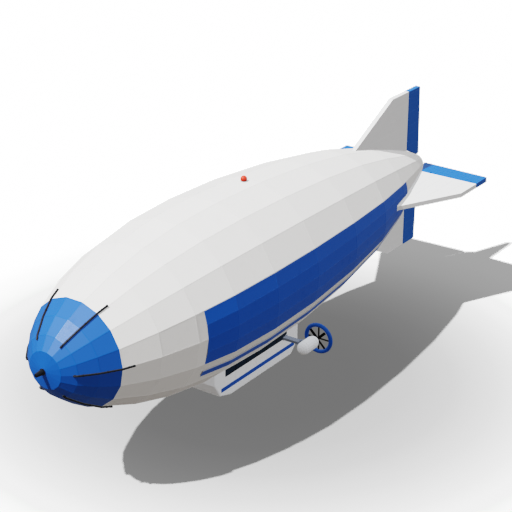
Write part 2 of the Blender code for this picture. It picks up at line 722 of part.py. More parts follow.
def build_pod(side, sign):
    """Outrigger, tilting nacelle with its duct and stator, and the propeller."""
    centre = (0, POD_Y, POD_Z)

    def across(rows):
        """Rows measured outboard, mirrored for starboard."""
        return [(sign * a, r) for a, r in rows]

    wall = CAR_HALF + GAP
    rows = [(wall, 0.0), (wall, FOOT_R), (wall + 0.02, FOOT_R), (wall + 0.05, STRUT_R), (STRUT_END, STRUT_R),
            (STRUT_END, SPIGOT_R), (SPIGOT_END, SPIGOT_R), (SPIGOT_END, 0.0)]
    lathe("outrigger_" + side, across(rows), 24, centre, "X", "steel")

    x = sign * POD_X
    low, high = NACELLE_Y
    rows = [(low, 0.0)]
    for k in range(1, 5):
        turn = math.pi / 2 * k / 4
        rows.append((low + 0.30 * (1 - math.cos(turn)), NACELLE_R * math.sin(turn)))
    for k in range(3):
        turn = math.pi / 2 * k / 4
        rows.append((high - 0.34 + 0.34 * math.sin(turn), NACELLE_R * math.cos(turn)))
    rows.append((high, 0.10))
    rows.append((high, 0.0))
    nacelle = lathe("nacelle_" + side, rows, 16, (x, 0, POD_Z), "Y", "nacelle_grey")
    rows = [(STRUT_END + GAP * 2, 0.0), (STRUT_END + GAP * 2, BOSS_R), (POD_X, BOSS_R), (POD_X, 0.0)]
    boss = lathe("boss_" + side, across(rows), 24, centre, "X")
    bore_r = SPIGOT_R + 0.001
    rows = [(STRUT_END - 0.1, 0.0), (STRUT_END - 0.1, bore_r),
            (SPIGOT_END + 0.01, bore_r), (SPIGOT_END + 0.01, 0.0)]
    bore = lathe("bore_" + side, across(rows), 24, centre, "X")
    shaft = cylinder("shaft_" + side, (x, 0, POD_Z), "Y", high - 0.10, DUCT_Y + 0.01, SHAFT_R, 24)
    boolean(nacelle, boss, "UNION")
    boolean(nacelle, bore, "DIFFERENCE")
    boolean(nacelle, shaft, "UNION")

    bm = bmesh.new()
    rings = []
    for k in range(32):
        turn = 2 * math.pi * k / 32
        ring = []
        for j in range(10):
            phi = 2 * math.pi * j / 10
            radius = DUCT_R + DUCT_TUBE * math.cos(phi)
            ring.append(bm.verts.new((x + radius * math.cos(turn), DUCT_Y + DUCT_TUBE * math.sin(phi),
                                      POD_Z + radius * math.sin(turn))))
        rings.append(ring)
    for k in range(32):
        for j in range(10):
            m = (j + 1) % 10
            n = (k + 1) % 32
            bm.faces.new((rings[k][j], rings[k][m], rings[n][m], rings[n][j]))
    duct = finish("duct_" + side, bm, "duct_blue", True)

    hub = cylinder("stator_" + side, (x, 0, POD_Z), "Y", DUCT_Y - 0.025, DUCT_Y + 0.055, 0.070, 24,
                   "blade_black")
    socket = cylinder("socket_" + side, (x, 0, POD_Z), "Y", DUCT_Y - 0.1, DUCT_Y + 0.011, SHAFT_R + GAP, 24)
    reach = DUCT_R - DUCT_TUBE - 0.0020
    for number in range(4):
        turn = Matrix.Rotation(math.pi / 2 * number, 4, "Y")
        arm = box("stator_arm_%s_%d" % (side, number), (-0.016, -0.02, 0.04), (0.016, 0.03, reach))
        arm.data.transform(Matrix.Translation((x, DUCT_Y, POD_Z)) @ turn)
        boolean(hub, arm, "UNION")
    boolean(hub, socket, "DIFFERENCE")
    propeller = build_propeller("propeller_" + side, x, sign)
    pivot(propeller, (x, PROP_Y, POD_Z))
    pivot(nacelle, (sign * (STRUT_END + SPIGOT_END) / 2, POD_Y, POD_Z), [duct, hub, propeller])


def build_propeller(name, x, sign):
    """Four pitched blades on a bored hub that turns on the nacelle's shaft."""
    low = NACELLE_Y[1] + 0.006
    high = DUCT_Y - 0.025 - 0.006
    rows = [(low, 0.0), (low, PROP_HUB_R), (high - 0.02, PROP_HUB_R), (high, PROP_HUB_R - 0.02), (high, 0.0)]
    hub = lathe(name, rows, 24, (x, 0, POD_Z), "Y", "blade_black")
    for number in range(4):
        bm = bmesh.new()
        rings = []
        for radius, chord, thick, pitch in BLADE:
            lean = math.radians(pitch) * sign
            ring = []
            for a, b in ((-1, 0), (-0.5, 1), (0.4, 1), (1, 0), (0.4, -1), (-0.5, -1)):
                flat = a * chord
                up = b * thick
                ring.append(bm.verts.new((flat * math.cos(lean) - up * math.sin(lean),
                                          flat * math.sin(lean) + up * math.cos(lean), radius)))
            rings.append(ring)
        bm.faces.new(rings[0])
        bm.faces.new(rings[-1])
        for first, second in zip(rings, rings[1:]):
            for k in range(6):
                n = (k + 1) % 6
                bm.faces.new((first[k], first[n], second[n], second[k]))
        turn = Matrix.Rotation(math.pi / 4 + math.pi / 2 * number, 4, "Y")
        bmesh.ops.transform(bm, matrix=Matrix.Translation((x, PROP_Y, POD_Z)) @ turn, verts=bm.verts[:])
        blade = finish("%s_blade_%d" % (name, number), bm, None)
        boolean(hub, blade, "UNION")
    bore = cylinder(name + "_bore", (x, 0, POD_Z), "Y", low - 0.05, high + 0.05, SHAFT_R + 0.001, 24)
    boolean(hub, bore, "DIFFERENCE")
    return hub


def main():
    """Clear the scene and build every piece."""
    for item in list(bpy.data.objects):
        bpy.data.objects.remove(item, do_unlink=True)
    hull = hull_cutter()
    build_envelope()
    build_nose(hull)
    build_beacon(hull)
    build_tail(hull)
    build_side_paint()
    build_gondola(hull)
    for side, sign in SIDES:
        build_pod(side, sign)


main()
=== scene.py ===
# %% [markdown]
# # Dressing an airship in Blender
# The solids of the airship come from CAD: a hull of eighteen flat gores, a blue
# nose cap with its rods, four fins with their rudders and elevators, a car under
# the belly and two tilting ducted propellers. This lesson gives them their looks.
# Nothing is resized or moved. Each solid gets a finish made from shader nodes, and
# the thin trim that CAD leaves out (seams, tapes, frames, bolts, hinges) is
# modelled with bmesh tools and laid on it.

# %% Load the solids
import json
import math

import bmesh
import bpy
from mathutils import Matrix, Vector


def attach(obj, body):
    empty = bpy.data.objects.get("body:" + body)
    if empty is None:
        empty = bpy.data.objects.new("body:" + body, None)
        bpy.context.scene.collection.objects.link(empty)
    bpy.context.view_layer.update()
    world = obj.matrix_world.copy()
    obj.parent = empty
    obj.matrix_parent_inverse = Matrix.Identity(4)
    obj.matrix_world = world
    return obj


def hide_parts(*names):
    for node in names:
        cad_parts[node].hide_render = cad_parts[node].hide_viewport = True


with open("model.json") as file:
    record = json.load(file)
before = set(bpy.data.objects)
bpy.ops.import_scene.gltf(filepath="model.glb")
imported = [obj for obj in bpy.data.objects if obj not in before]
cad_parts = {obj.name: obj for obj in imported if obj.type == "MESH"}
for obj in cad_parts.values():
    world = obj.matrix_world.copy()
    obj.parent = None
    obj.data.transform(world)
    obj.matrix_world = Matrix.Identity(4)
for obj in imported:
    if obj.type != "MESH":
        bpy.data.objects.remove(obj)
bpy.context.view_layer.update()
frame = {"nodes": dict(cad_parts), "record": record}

SOLIDS = frame["nodes"]

# %% [markdown]
# ## The camera
# The nose points at -Y, port is +X and up is +Z. The picture was taken from ahead
# and to port, from well above, with a long lens. The numbers were solved from
# corners whose place on the hull is known, so the render lies on the picture.

# %% Camera
CAMERA_PLACE = (36.1566, -50.2319, 27.1769)
CAMERA_TURN = (math.radians(90 - 23.68837), 0.0, math.radians(35.42086))
camera = bpy.data.objects.new("camera", bpy.data.cameras.new("camera"))
camera.location = CAMERA_PLACE
camera.rotation_euler = CAMERA_TURN
camera.data.sensor_width = 36.0
camera.data.lens = 105.559
camera.data.clip_start = 1.0
camera.data.clip_end = 600.0
bpy.context.scene.collection.objects.link(camera)
bpy.context.scene.camera = camera
print("camera looks down", round(math.degrees(math.pi / 2 - CAMERA_TURN[0]), 1), "degrees")

# %% [markdown]
# ## Shader nodes in code
# The floor, the dome and every finish are trees of shader nodes. Three helpers keep
# them short: one adds a node with its settings, one wires two sockets and one maps a
# value from one range to another.

# %% Node tools
def node(tree, kind, sockets=(), **settings):
    """Add a shader node with its settings and the values of its sockets."""
    made = tree.nodes.new("ShaderNode" + kind)
    for name, value in settings.items():
        setattr(made, name, value)
    for socket, value in sockets:
        made.inputs[socket].default_value = value
    return made


def wire(source, out, target, socket):
    target.id_data.links.new(source.outputs[out], target.inputs[socket])


def spread(source, out, low, high, to_low=0.0, to_high=1.0):
    """Map a value from one range to another, without going past the ends."""
    ends = (("From Min", low), ("From Max", high), ("To Min", to_low), ("To Max", to_high))
    span = node(source.id_data, "MapRange", ends)
    wire(source, out, span, "Value")
    return span


print("node tools ready")

# %% [markdown]
# ## The studio: a pale floor that fades to white
# The airship floats over a pale floor. The floor is grey under the hull and white
# from about eighteen metres out, and the shadow gets paler in the same way. Two
# ramps over the distance from the middle give those tones: one for the part that
# the lamp lights, and one for the glow that is left in the shadow. The floor has a
# lamp of its own, so that its tones don't depend on the light of the ship.

# %% Floor
FLOOR_Z = -6.348
FLOOR_MIDDLE = (0.0, 1.0, FLOOR_Z)
FLOOR_SIZE = 400.0
FLOOR_REACH = 20.0
FLOOR_LAMP_GAIN = 200.0
# Columns: distance from the middle, brightness
LIT_TONES = (
    (4.4, 0.52), (7.0, 0.57), (9.0, 0.67), (11.0, 0.93), (12.0, 1.15), (13.0, 1.42), (14.0, 1.93),
    (15.0, 1.98), (17.0, 2.07), (18.5, 2.35),
)
SHADE_TONES = (
    (4.4, 0.153), (7.0, 0.160), (9.0, 0.181), (11.0, 0.211), (13.0, 0.249), (15.0, 0.290),
    (17.0, 0.316), (18.5, 0.322),
)


def tone_ramp(distance, tones, share):
    ramp = node(distance.id_data, "ValToRGB")
    stops = ramp.color_ramp.elements
    while len(stops) < len(tones):
        stops.new(0.5)
    for stop, (reach, tone) in zip(stops, tones):
        stop.position = reach / FLOOR_REACH
        stop.color = (tone * share, tone * share, tone * share, 1.0)
    wire(distance, "Result", ramp, "Fac")
    return ramp


def floor_finish():
    finish = bpy.data.materials.new("studio_floor")
    finish.use_nodes = True
    tree = finish.node_tree
    tree.nodes.clear()
    middle = node(tree, "Mapping", [("Location", [-v for v in FLOOR_MIDDLE])])
    length = node(tree, "VectorMath", operation="LENGTH")
    wire(node(tree, "TexCoord"), "Object", middle, "Vector")
    wire(middle, "Vector", length, 0)
    distance = spread(length, "Value", 0.0, FLOOR_REACH)
    matt = node(tree, "BsdfDiffuse")
    glow = node(tree, "Emission")
    both = node(tree, "AddShader")
    wire(tone_ramp(distance, LIT_TONES, 1 / FLOOR_LAMP_GAIN), "Color", matt, "Color")
    wire(tone_ramp(distance, SHADE_TONES, 1.0), "Color", glow, "Color")
    wire(matt, "BSDF", both, 0)
    wire(glow, "Emission", both, 1)
    wire(both, "Shader", node(tree, "OutputMaterial"), "Surface")
    return finish


bm = bmesh.new()
bmesh.ops.create_grid(bm, x_segments=1, y_segments=1, size=FLOOR_SIZE)
bmesh.ops.translate(bm, verts=bm.verts, vec=(0.0, 0.0, FLOOR_Z))
floor = bpy.data.objects.new("floor", bpy.data.meshes.new("floor"))
bm.to_mesh(floor.data)
bm.free()
floor.data.materials.append(floor_finish())
bpy.context.scene.collection.objects.link(floor)
for ray in ("visible_diffuse", "visible_glossy", "visible_transmission", "visible_shadow"):
    setattr(floor, ray, False)
print("floor at", FLOOR_Z, "m")

# %% [markdown]
# ## Light: one sun and a soft dome
# The edge of the shadow on the floor gives the direction of the sun. The ship and
# the floor have a sun each, from the same side, and light linking keeps them apart.

# %% Suns
SUN_RAY = Vector((0.2376, 0.6607, -1.0))
SUN_WIDTH = math.radians(1.0)
SUN_AWAY = 30.0
SHIP_SUN = 1.55 * math.pi
FLOOR_SUN = math.pi * FLOOR_LAMP_GAIN / -SUN_RAY.normalized().z


def sun(name, strength, state):
    """A lamp that lights either all but the floor, or nothing but the floor."""
    lamp = bpy.data.objects.new(name, bpy.data.lights.new(name, "SUN"))
    lamp.data.energy = strength
    lamp.data.angle = SUN_WIDTH
    lamp.rotation_euler = SUN_RAY.to_track_quat("-Z", "Y").to_euler()
    lamp.location = SUN_RAY * -SUN_AWAY
    bpy.context.scene.collection.objects.link(lamp)
    group = bpy.data.collections.new(name + "_floor")
    group.objects.link(floor)
    group.collection_objects[0].light_linking.link_state = state
    lamp.light_linking.receiver_collection = group


sun("ship_sun", SHIP_SUN, "EXCLUDE")
sun("floor_sun", FLOOR_SUN, "INCLUDE")
print("sun from", [round(-v, 2) for v in SUN_RAY.normalized()])

# %% [markdown]
# The gores turn away from the sun in steps of twenty degrees. Their tones give the
# strength of the dome against the sun: pale and even above, dim and warm below. The
# camera sees plain white behind the ship, and the ship sees the dome.

# %% Dome
# Each is a pair of tones: seen towards the nose, and towards the tail
SKY = ((0.53, 0.53, 0.53), (0.79, 0.80, 0.82))
GROUND = ((0.10, 0.08, 0.06), (0.33, 0.32, 0.31))
HORIZON = 0.12
WHITE_AT = 2.6
# Sockets of a Mix node in colour mode
MIX_COLOURS = (6, 7)
MIX_RESULT = 2


def mixed(factor, out, first, second):
    """Mix two colours, each a colour or the node of an earlier mix."""
    tone = node(factor.id_data, "Mix", data_type="RGBA")
    wire(factor, out, tone, 0)
    for socket, side in zip(MIX_COLOURS, (first, second)):
        if isinstance(side, tuple):
            tone.inputs[socket].default_value = (*side, 1.0)
        else:
            wire(side, MIX_RESULT, tone, socket)
    return tone


world = bpy.data.worlds.new("dome")
bpy.context.scene.world = world
world.use_nodes = True
world.cycles.sampling_method = "NONE"
tree = world.node_tree
tree.nodes.clear()
parts = node(tree, "SeparateXYZ")
wire(node(tree, "TexCoord"), "Generated", parts, "Vector")
fore_aft = spread(parts, "Y", -1.0, 1.0)
sky = mixed(fore_aft, "Result", *SKY)
ground = mixed(fore_aft, "Result", *GROUND)
both = mixed(spread(parts, "Z", -HORIZON, HORIZON), "Result", ground, sky)
dome = node(tree, "Background")
beyond = node(tree, "Background", [("Strength", WHITE_AT)])
pick = node(tree, "MixShader")
wire(both, MIX_RESULT, dome, "Color")
wire(node(tree, "LightPath"), "Is Camera Ray", pick, 0)
wire(dome, "Background", pick, 1)
wire(beyond, "Background", pick, 2)
wire(pick, "Shader", node(tree, "OutputWorld"), "Surface")
print("dome:", GROUND[0], "to", GROUND[1], "below,", SKY[0], "to", SKY[1], "above")

# %% [markdown]
# ## Film
# The picture has the soft contrast of film, and its floor fades to pure white. The
# Filmic view gives the first, but never quite reaches white. So a curve goes ahead of
# it. The curve is straight as far as the tones of the ship go and then climbs, so that
# the brightness of the far floor and of the backdrop comes out as paper white.

# %% Film
STEEP_FROM = 2.25
PAPER_WHITE = 12.0
view = bpy.context.scene.view_settings
view.view_transform = "Filmic"
view.look = "High Contrast"
view.use_curve_mapping = True
paper = view.curve_mapping
paper.clip_max_x = paper.clip_max_y = PAPER_WHITE
paper.use_clip = False
line = paper.curves[3]
line.points[0].location = (0.0, 0.0)
line.points[1].location = (STEEP_FROM, STEEP_FROM)
line.points.new(WHITE_AT, PAPER_WHITE)
for stop in line.points:
    stop.handle_type = "VECTOR"
paper.update()
print("paper white from", WHITE_AT)

# %% [markdown]
# ## Finishes
# The hull and the fins are laminated cloth: satin, a little cloudy, with a fine
# weave. The car, the pods and the rods are painted metal. Each finish is a stack of
# noise on Object coordinates: a slow change of tone, scuffs that are duller than
# the paint around them, a fine change of gloss and a shallow bump.

# %% Finish maker
CLOUD = (0.4, 3.0)
SCUFF = (2.5, 6.0)
GRAIN_DETAIL = 2.0
SCUFF_SPAN = (0.58, 0.72)
GRAIN_SPAN = (0.3, 0.7)
GLOSS_CHANGE = 0.03
SCUFF_DULLS = 0.06
BUMP_STRENGTH = 0.5
WALL_SPAN = (0.6, 0.8)


def noise(place, scale, detail):
    cloud = node(place.id_data, "TexNoise", [("Scale", scale), ("Detail", detail)])
    wire(place, "Object", cloud, "Vector")
    return cloud


def shaded(colour, share):
    return tuple(c * share for c in colour)


def facing_out(place):
    """1 where a face looks away from the ship's long axis, 0 on an edge wall."""
    tree = place.id_data
    flat = node(tree, "VectorMath", [(1, (1.0, 0.0, 1.0))], operation="MULTIPLY")
    away = node(tree, "VectorMath", operation="NORMALIZE")
    against = node(tree, "VectorMath", operation="DOT_PRODUCT")
    wire(place, "Object", flat, 0)
    wire(flat, "Vector", away, 0)
    wire(away, "Vector", against, 0)
    wire(place, "Normal", against, 1)
    return spread(against, "Value", *WALL_SPAN)


def surface(name, colour, gloss, shine=0.5, cloud=0.03, grain_scale=30.0, grain=0.0002, scuffs=0.03,
            metal=0.0, wall=None):
    """Paint or cloth: clouded colour, scuffs, uneven gloss and a fine bump."""
    finish = bpy.data.materials.new(name)
    finish.use_nodes = True
    tree = finish.node_tree
    shader = tree.nodes["Principled BSDF"]
    shader.inputs["Specular IOR Level"].default_value = shine
    shader.inputs["Metallic"].default_value = metal
    place = node(tree, "TexCoord")
    fine = noise(place, grain_scale, GRAIN_DETAIL)
    tone = mixed(noise(place, *CLOUD), "Fac", shaded(colour, 1 - cloud), shaded(colour, 1 + cloud))
    scuff = spread(noise(place, *SCUFF), "Fac", *SCUFF_SPAN)
    tone = mixed(scuff, "Result", tone, shaded(colour, 1 - scuffs))
    # Edge walls take the wall colour where one is given; for the panels it is painted shade
    if wall:
        tone = mixed(facing_out(place), "Result", wall, tone)
    wire(tone, MIX_RESULT, shader, "Base Color")
    even = spread(fine, "Fac", *GRAIN_SPAN, gloss - GLOSS_CHANGE, gloss + GLOSS_CHANGE)
    dull = node(tree, "Math", [(1, SCUFF_DULLS)], operation="MULTIPLY_ADD")
    wire(scuff, "Result", dull, 0)
    wire(even, "Result", dull, 2)
    wire(dull, "Value", shader, "Roughness")
    relief = node(tree, "Bump", [("Strength", BUMP_STRENGTH), ("Distance", grain)])
    wire(fine, "Fac", relief, "Height")
    wire(relief, "Normal", shader, "Normal")
    return finish


print("finish maker ready")

# %% [markdown]
# The colours were read off the picture as tones, then divided by the light that
# falls on each face. The side panels and the stripes are stiff mouldings on the
# hull. Their edge walls are painted a flat grey, which is painted shade: it gives
# them the tone of the shaded hull beside them, so that only their faces show blue.
# The finish tells a wall from a face by the way it looks.

# %% Colours
# Flat grey for the edge walls of the panels and stripes: painted shade, the tone of the shaded hull beside
# them
WALL_SHADE_GREY = (0.30, 0.29, 0.285)
CRISP_OVER = math.radians(15)
FINISHES = {
    "envelope_white": surface("hull_cloth_white", (0.845, 0.833, 0.815), 0.52, cloud=0.012,
                              grain_scale=90.0),
    "cap_blue": surface("cap_cloth_blue", (0.008, 0.094, 0.395), 0.5, shine=0.45),
    "panel_blue": surface("panel_cloth_blue", (0.003, 0.098, 0.465), 0.5, shine=0.35, wall=WALL_SHADE_GREY),
    "tail_blue": surface("tail_cloth_blue", (0.004, 0.112, 0.462), 0.5, shine=0.38),
    "tail_white": surface("tail_cloth_white", (0.84, 0.84, 0.845), 0.52, cloud=0.012, grain_scale=90.0),
    "rod_black": surface("rod_enamel", (0.012, 0.013, 0.016), 0.42, shine=0.30, cloud=0.1),
    "spindle_dark": surface("spindle_steel", (0.005, 0.007, 0.011), 0.45, shine=0.25, cloud=0.1),
    "beacon_red": surface("beacon_lens", (0.9, 0.06, 0.03), 0.3),
    "car_white": surface("car_enamel_white", (0.945, 0.965, 1.0), 0.5, cloud=0.01),
    "car_glass": surface("car_glass_dark", (0.0012, 0.018, 0.042), 0.12, shine=0.15, grain=0.00002),
    "car_grey": surface("car_floor_grey", (0.156, 0.168, 0.188), 0.6, scuffs=0.2),
    "steel": surface("strut_enamel", (0.21, 0.255, 0.34), 0.45),
    "nacelle_grey": surface("nacelle_enamel", (0.925, 0.955, 1.0), 0.45, cloud=0.01),
    "duct_blue": surface("duct_enamel_blue", (0.003, 0.095, 0.438), 0.45, shine=0.35),
    "blade_black": surface("blade_enamel", (0.002, 0.002, 0.003), 0.5, shine=0.12, cloud=0.1),
}
STRIPE_BLUE = surface("stripe_blue", (0.003, 0.097, 0.46), 0.45, shine=0.35)
SLOT_OF = {part["node"]: part["material_slot"] for part in frame["record"]["subparts"]}
for name, solid in SOLIDS.items():
    coat = STRIPE_BLUE if "gondola_stripe" in name else FINISHES[SLOT_OF[name]]
    solid.data.materials.clear()
    solid.data.materials.append(coat)
    solid.visible_diffuse = False
    solid.visible_glossy = False
for side in ("port", "starboard"):
    crisp = SOLIDS["nacelle_" + side].modifiers.new("crisp", "EDGE_SPLIT")
    crisp.split_angle = CRISP_OVER
print("finishes:", len(FINISHES))

# %% [markdown]
# ## Tools for the trim
# Every trim piece starts from a bmesh primitive and is measured from the ship's
# origin, so its object stays at the origin. One tool merges its doubles, turns its
# faces outwards, makes it an object and lets it ride on the body that carries it.

# %% Pieces
RIGHT = Vector((1, 0, 0))
AFT = Vector((0, 1, 0))
UP = Vector((0, 0, 1))
SIDES = (("port", 1), ("starboard", -1))
TRIM = []
WELD = 0.00002


def piece(name, bm, coat, body="ship"):
    """Turn a bmesh into an object that rides on a body and wears a finish."""
    bmesh.ops.remove_doubles(bm, verts=bm.verts[:], dist=WELD)
    bmesh.ops.recalc_face_normals(bm, faces=bm.faces[:])
    mesh = bpy.data.meshes.new(name)
    bm.to_mesh(mesh)
    bm.free()
    item = bpy.data.objects.new(name, mesh)
    bpy.context.scene.collection.objects.link(item)
    mesh.materials.append(coat)
    item.visible_diffuse = False
    item.visible_glossy = False
    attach(item, body)
    TRIM.append(item)
    return item


def tell(title, count):
    """Print the names and the numbers of faces of the last pieces."""
    print(title + ":", [(item.name, len(item.data.polygons)) for item in TRIM[-count:]])


print("doubles merge within", WELD, "m")

# %% [markdown]
# Tapes, hems and seals are strips: a grid laid along a path, then given thickness by
# solidify. Bars, straps and bolted fittings are plates: a box that lies on a face,
# with its edges bevelled.

# %% Strips and plates
def strip(bm, stations, outward, thickness):
    """Ribbon through rows of points on its outer face; its first corner looks outward."""
    rows = len(stations) - 1
    grid = bmesh.ops.create_grid(bm, x_segments=len(stations[0]) - 1, y_segments=rows, size=0.5)
    points = [point for station in stations for point in station]
    for vert, point in zip(grid["verts"], points):
        vert.co = point
    faces = list(dict.fromkeys(face for vert in grid["verts"] for face in vert.link_faces))
    first = grid["verts"][0].link_faces[0]
    first.normal_update()
    if first.normal.dot(outward) < 0:
        bmesh.ops.reverse_faces(bm, faces=faces)
    bmesh.ops.remove_doubles(bm, verts=grid["verts"], dist=WELD / 2)
    bmesh.ops.solidify(bm, geom=faces, thickness=thickness)


def soften(bm, edges, width, segments=2):
    """Round some edges off."""
    bmesh.ops.bevel(bm, geom=edges, offset=width, affect="EDGES", segments=segments, profile=0.5,
                    material=-1)


def plate(bm, centre, out, along, size, rounding=0.0):
    """Box that lies on a face: size is its length along, its width across and its height outwards."""
    turn = Matrix((along, out.cross(along), out)).transposed().to_4x4()
    shift = Matrix.Translation(centre + out * (size[2] / 2))
    made = bmesh.ops.create_cube(bm, size=1.0, matrix=shift @ turn @ Matrix.Diagonal((*size, 1.0)))
    if rounding:
        edges = dict.fromkeys(edge for vert in made["verts"] for edge in vert.link_edges)
        soften(bm, list(edges), rounding)


print("strips and plates ready")

# %% [markdown]
# Round things come from a cone or a spin. A drum is a closed cylinder or cone. A stud
# is a small one, for the head of a bolt or rivet. A hoop is a square section spun round
# an axis, for collars, bands and cuffs.

# %% Drums, studs and hoops
STUD_TAPER = 0.7


def drum(bm, foot, out, radius, length, sides=32, taper=1.0):
    """Closed cylinder or cone that starts at a point and runs outwards."""
    turn = out.to_track_quat("Z", "Y").to_matrix().to_4x4()
    place = Matrix.Translation(foot + out * (length / 2)) @ turn
    bmesh.ops.create_cone(bm, cap_ends=True, segments=sides, radius1=radius, radius2=radius * taper,
                          depth=length, matrix=place)


def stud(bm, foot, out, radius, height, sides=6):
    """Small bolt or rivet head on a face."""
    drum(bm, foot, out, radius, height, sides, STUD_TAPER)


def stud_ring(bm, centre, axis, start, count, reach, radius, height):
    """Ring of studs round an axis; start points from the centre to the first of them."""
    for k in range(count):
        way = Matrix.Rotation(2 * math.pi * k / count, 3, axis) @ start
        stud(bm, centre + way * reach, axis, radius, height)


def hoop(bm, centre, axis, start, radii, span, steps=32):
    """Ring of square section round an axis: its two radii, and its span along the axis."""
    corners = [(radius, along) for along in span for radius in radii]
    grid = bmesh.ops.create_grid(bm, x_segments=1, y_segments=1, size=0.5)
    for vert, (radius, along) in zip(grid["verts"], corners):
        vert.co = centre + start * radius + axis * along
    face = grid["verts"][0].link_faces[0]
    edges = list(face.edges)
    bmesh.ops.delete(bm, geom=[face], context="FACES_ONLY")
    bmesh.ops.spin(bm, geom=edges, cent=centre, axis=axis, dvec=(0, 0, 0), angle=2 * math.pi, steps=steps,
                   use_merge=True)


print("a stud's top is", STUD_TAPER, "as wide as its foot")

# %% [markdown]
# ## The skin of the hull
# The hull is flat from one gore corner to the next and straight from one ring to the
# next. These rows repeat the rings of the solid, so that a tape can follow its skin.

# %% Hull rows
# Columns: y, corner radius of the eighteen-sided hull
HULL_ROWS = [
    (-13.516, 0.000), (-13.352, 0.802), (-12.949, 1.319), (-12.289, 1.861), (-11.529, 2.339),
    (-9.874, 2.974), (-8.085, 3.436), (-5.838, 3.751), (-3.146, 3.856), (0.055, 3.772),
    (3.725, 3.452), (7.140, 2.940), (10.080, 2.218), (12.390, 1.512), (14.070, 0.945),
    (14.994, 0.500), (15.414, 0.000),
]
CAP_RIM = 4
CAP_RIM_Y = HULL_ROWS[CAP_RIM][0]
GORES = 18
GORE = 360 // GORES
HALF_GORE = math.radians(GORE / 2)
FLAT = math.cos(HALF_GORE)
# A ring nearer than this to the end of a tape is left out of it
RING_NEAR = 0.05


def radius_at(y):
    """Corner radius of the hull at y."""
    for (y0, r0), (y1, r1) in zip(HULL_ROWS, HULL_ROWS[1:]):
        if y0 <= y <= y1:
            return r0 + (r1 - r0) * (y - y0) / (y1 - y0)
    return 0.0


def around(degrees):
    """Direction square to the ship's axis; 0 is port and 90 is up."""
    turn = math.radians(degrees)
    return Vector((math.cos(turn), 0, math.sin(turn)))


def on_corner(degrees, y, proud=0.0):
    return around(degrees) * (radius_at(y) + proud) + AFT * y


def span_of(first, last):
    """The two ends and the hull's own rings between them."""
    inner = [y for y, _ in HULL_ROWS if first + RING_NEAR < y < last - RING_NEAR]
    return [first, *inner, last]


print("widest ring:", max(r for _, r in HULL_ROWS), "m to a corner,", len(HULL_ROWS), "rows")

# %% [markdown]
# ## Seam tapes
# The hull is glued from eighteen gores, and a tape covers each joint. A tape bends
# over the corner between two gores, so it has three points across: one on each gore
# and one on the corner. A seam runs along the ship and a band runs round it, and both
# tools work on any skin whose points a function gives.

# %% Tape tools
TAPE_T = 0.003
RING_T = 0.004
# Tapes stop this far above the skin, and directions are taken over this much of y
CLEAR = 0.0005
NEAR = 0.1


def tape_row(here, lift, *sides):
    """Points across a tape; each side is the point that it runs towards and its width there."""
    row = [here + (there - here).normalized() * width + lift for there, width in sides if width]
    row.insert(1 if sides[0][1] else 0, here + lift)
    return row


def seam(bm, spot, degrees, sides, ends, lift=TAPE_T):
    """Tape along a line of the skin; each side is the angle of the next line and the width towards it."""
    out = around(degrees)
    stations = []
    for y in span_of(*ends):
        towards = [(spot(beside, y), width) for beside, width in sides]
        stations.append(tape_row(spot(degrees, y), out * lift, *towards))
    strip(bm, stations, out, lift - CLEAR)


def band(bm, spot, corners, y, before, after, lift=RING_T):
    """Tape across the skin at y; before and after are its widths ahead and behind."""
    stations = []
    for degrees in corners:
        sides = ((spot(degrees, y - NEAR), before), (spot(degrees, y + NEAR), after))
        stations.append(tape_row(spot(degrees, y), around(degrees) * lift, *sides))
    strip(bm, stations, around(corners[0]), lift - CLEAR)


print("tapes:", TAPE_T, "m thick along the ship,", RING_T, "m round it")

# %% [markdown]
# Ring tapes cross the gore tapes where the lengths of cloth meet. All are white on
# white and a few millimetres thick, so they only show close by. The blue cap has tapes
# in its own cloth, and a nose rod takes the place of every third one.

# %% Hull tapes
TAPE_HALF = 0.030
NARROW = 0.021
WRAP = 0.05
ROD_Y = (-13.065, -11.060)
ROD_ANGLES = (0, 60, 120, 180, 240, 300)
# How far gore tapes stay from the end of a rod and from both sides of the cap's rim
PAST_ROD = 0.05
RIM_GAPS = (0.004, 0.010)
RIM_SPLIT = 0.001
TAPE_WHITE = surface("seam_tape_white", (0.855, 0.842, 0.824), 0.46, cloud=0.01, grain_scale=60.0)
TAPE_CAP_BLUE = surface("seam_tape_cap_blue", (0.004, 0.096, 0.40), 0.45, shine=0.4)
gore_tapes = bmesh.new()
cap_tapes = bmesh.new()
for degrees in range(0, 360, GORE):
    sides = ((degrees - GORE, TAPE_HALF), (degrees + GORE, TAPE_HALF))
    has_rod = degrees in ROD_ANGLES
    front = ROD_Y[1] + PAST_ROD if has_rod else CAP_RIM_Y + RIM_GAPS[1]
    seam(gore_tapes, on_corner, degrees, sides, (front, HULL_ROWS[-2][0]))
    if not has_rod:
        seam(cap_tapes, on_corner, degrees, sides, (HULL_ROWS[1][0], CAP_RIM_Y - RIM_GAPS[0]))
piece("hull_gore_tapes", gore_tapes, TAPE_WHITE)
piece("cap_gore_tapes", cap_tapes, TAPE_CAP_BLUE)

ROUND = [degrees % 360 for degrees in range(0, 360 + GORE, GORE)]
ring_tapes = bmesh.new()
for y, _ in HULL_ROWS[CAP_RIM + 1:-1]:
    band(ring_tapes, on_corner, ROUND, y, TAPE_HALF, TAPE_HALF)
band(ring_tapes, on_corner, ROUND, CAP_RIM_Y + RIM_SPLIT, 0, WRAP)
piece("hull_ring_tapes", ring_tapes, TAPE_WHITE)
cap_rings = bmesh.new()
for y, _ in HULL_ROWS[1:CAP_RIM]:
    band(cap_rings, on_corner, ROUND, y, NARROW, NARROW)
band(cap_rings, on_corner, ROUND, CAP_RIM_Y - RIM_SPLIT, WRAP, 0)
piece("cap_ring_tapes", cap_rings, TAPE_CAP_BLUE)
tell("hull tapes", 4)

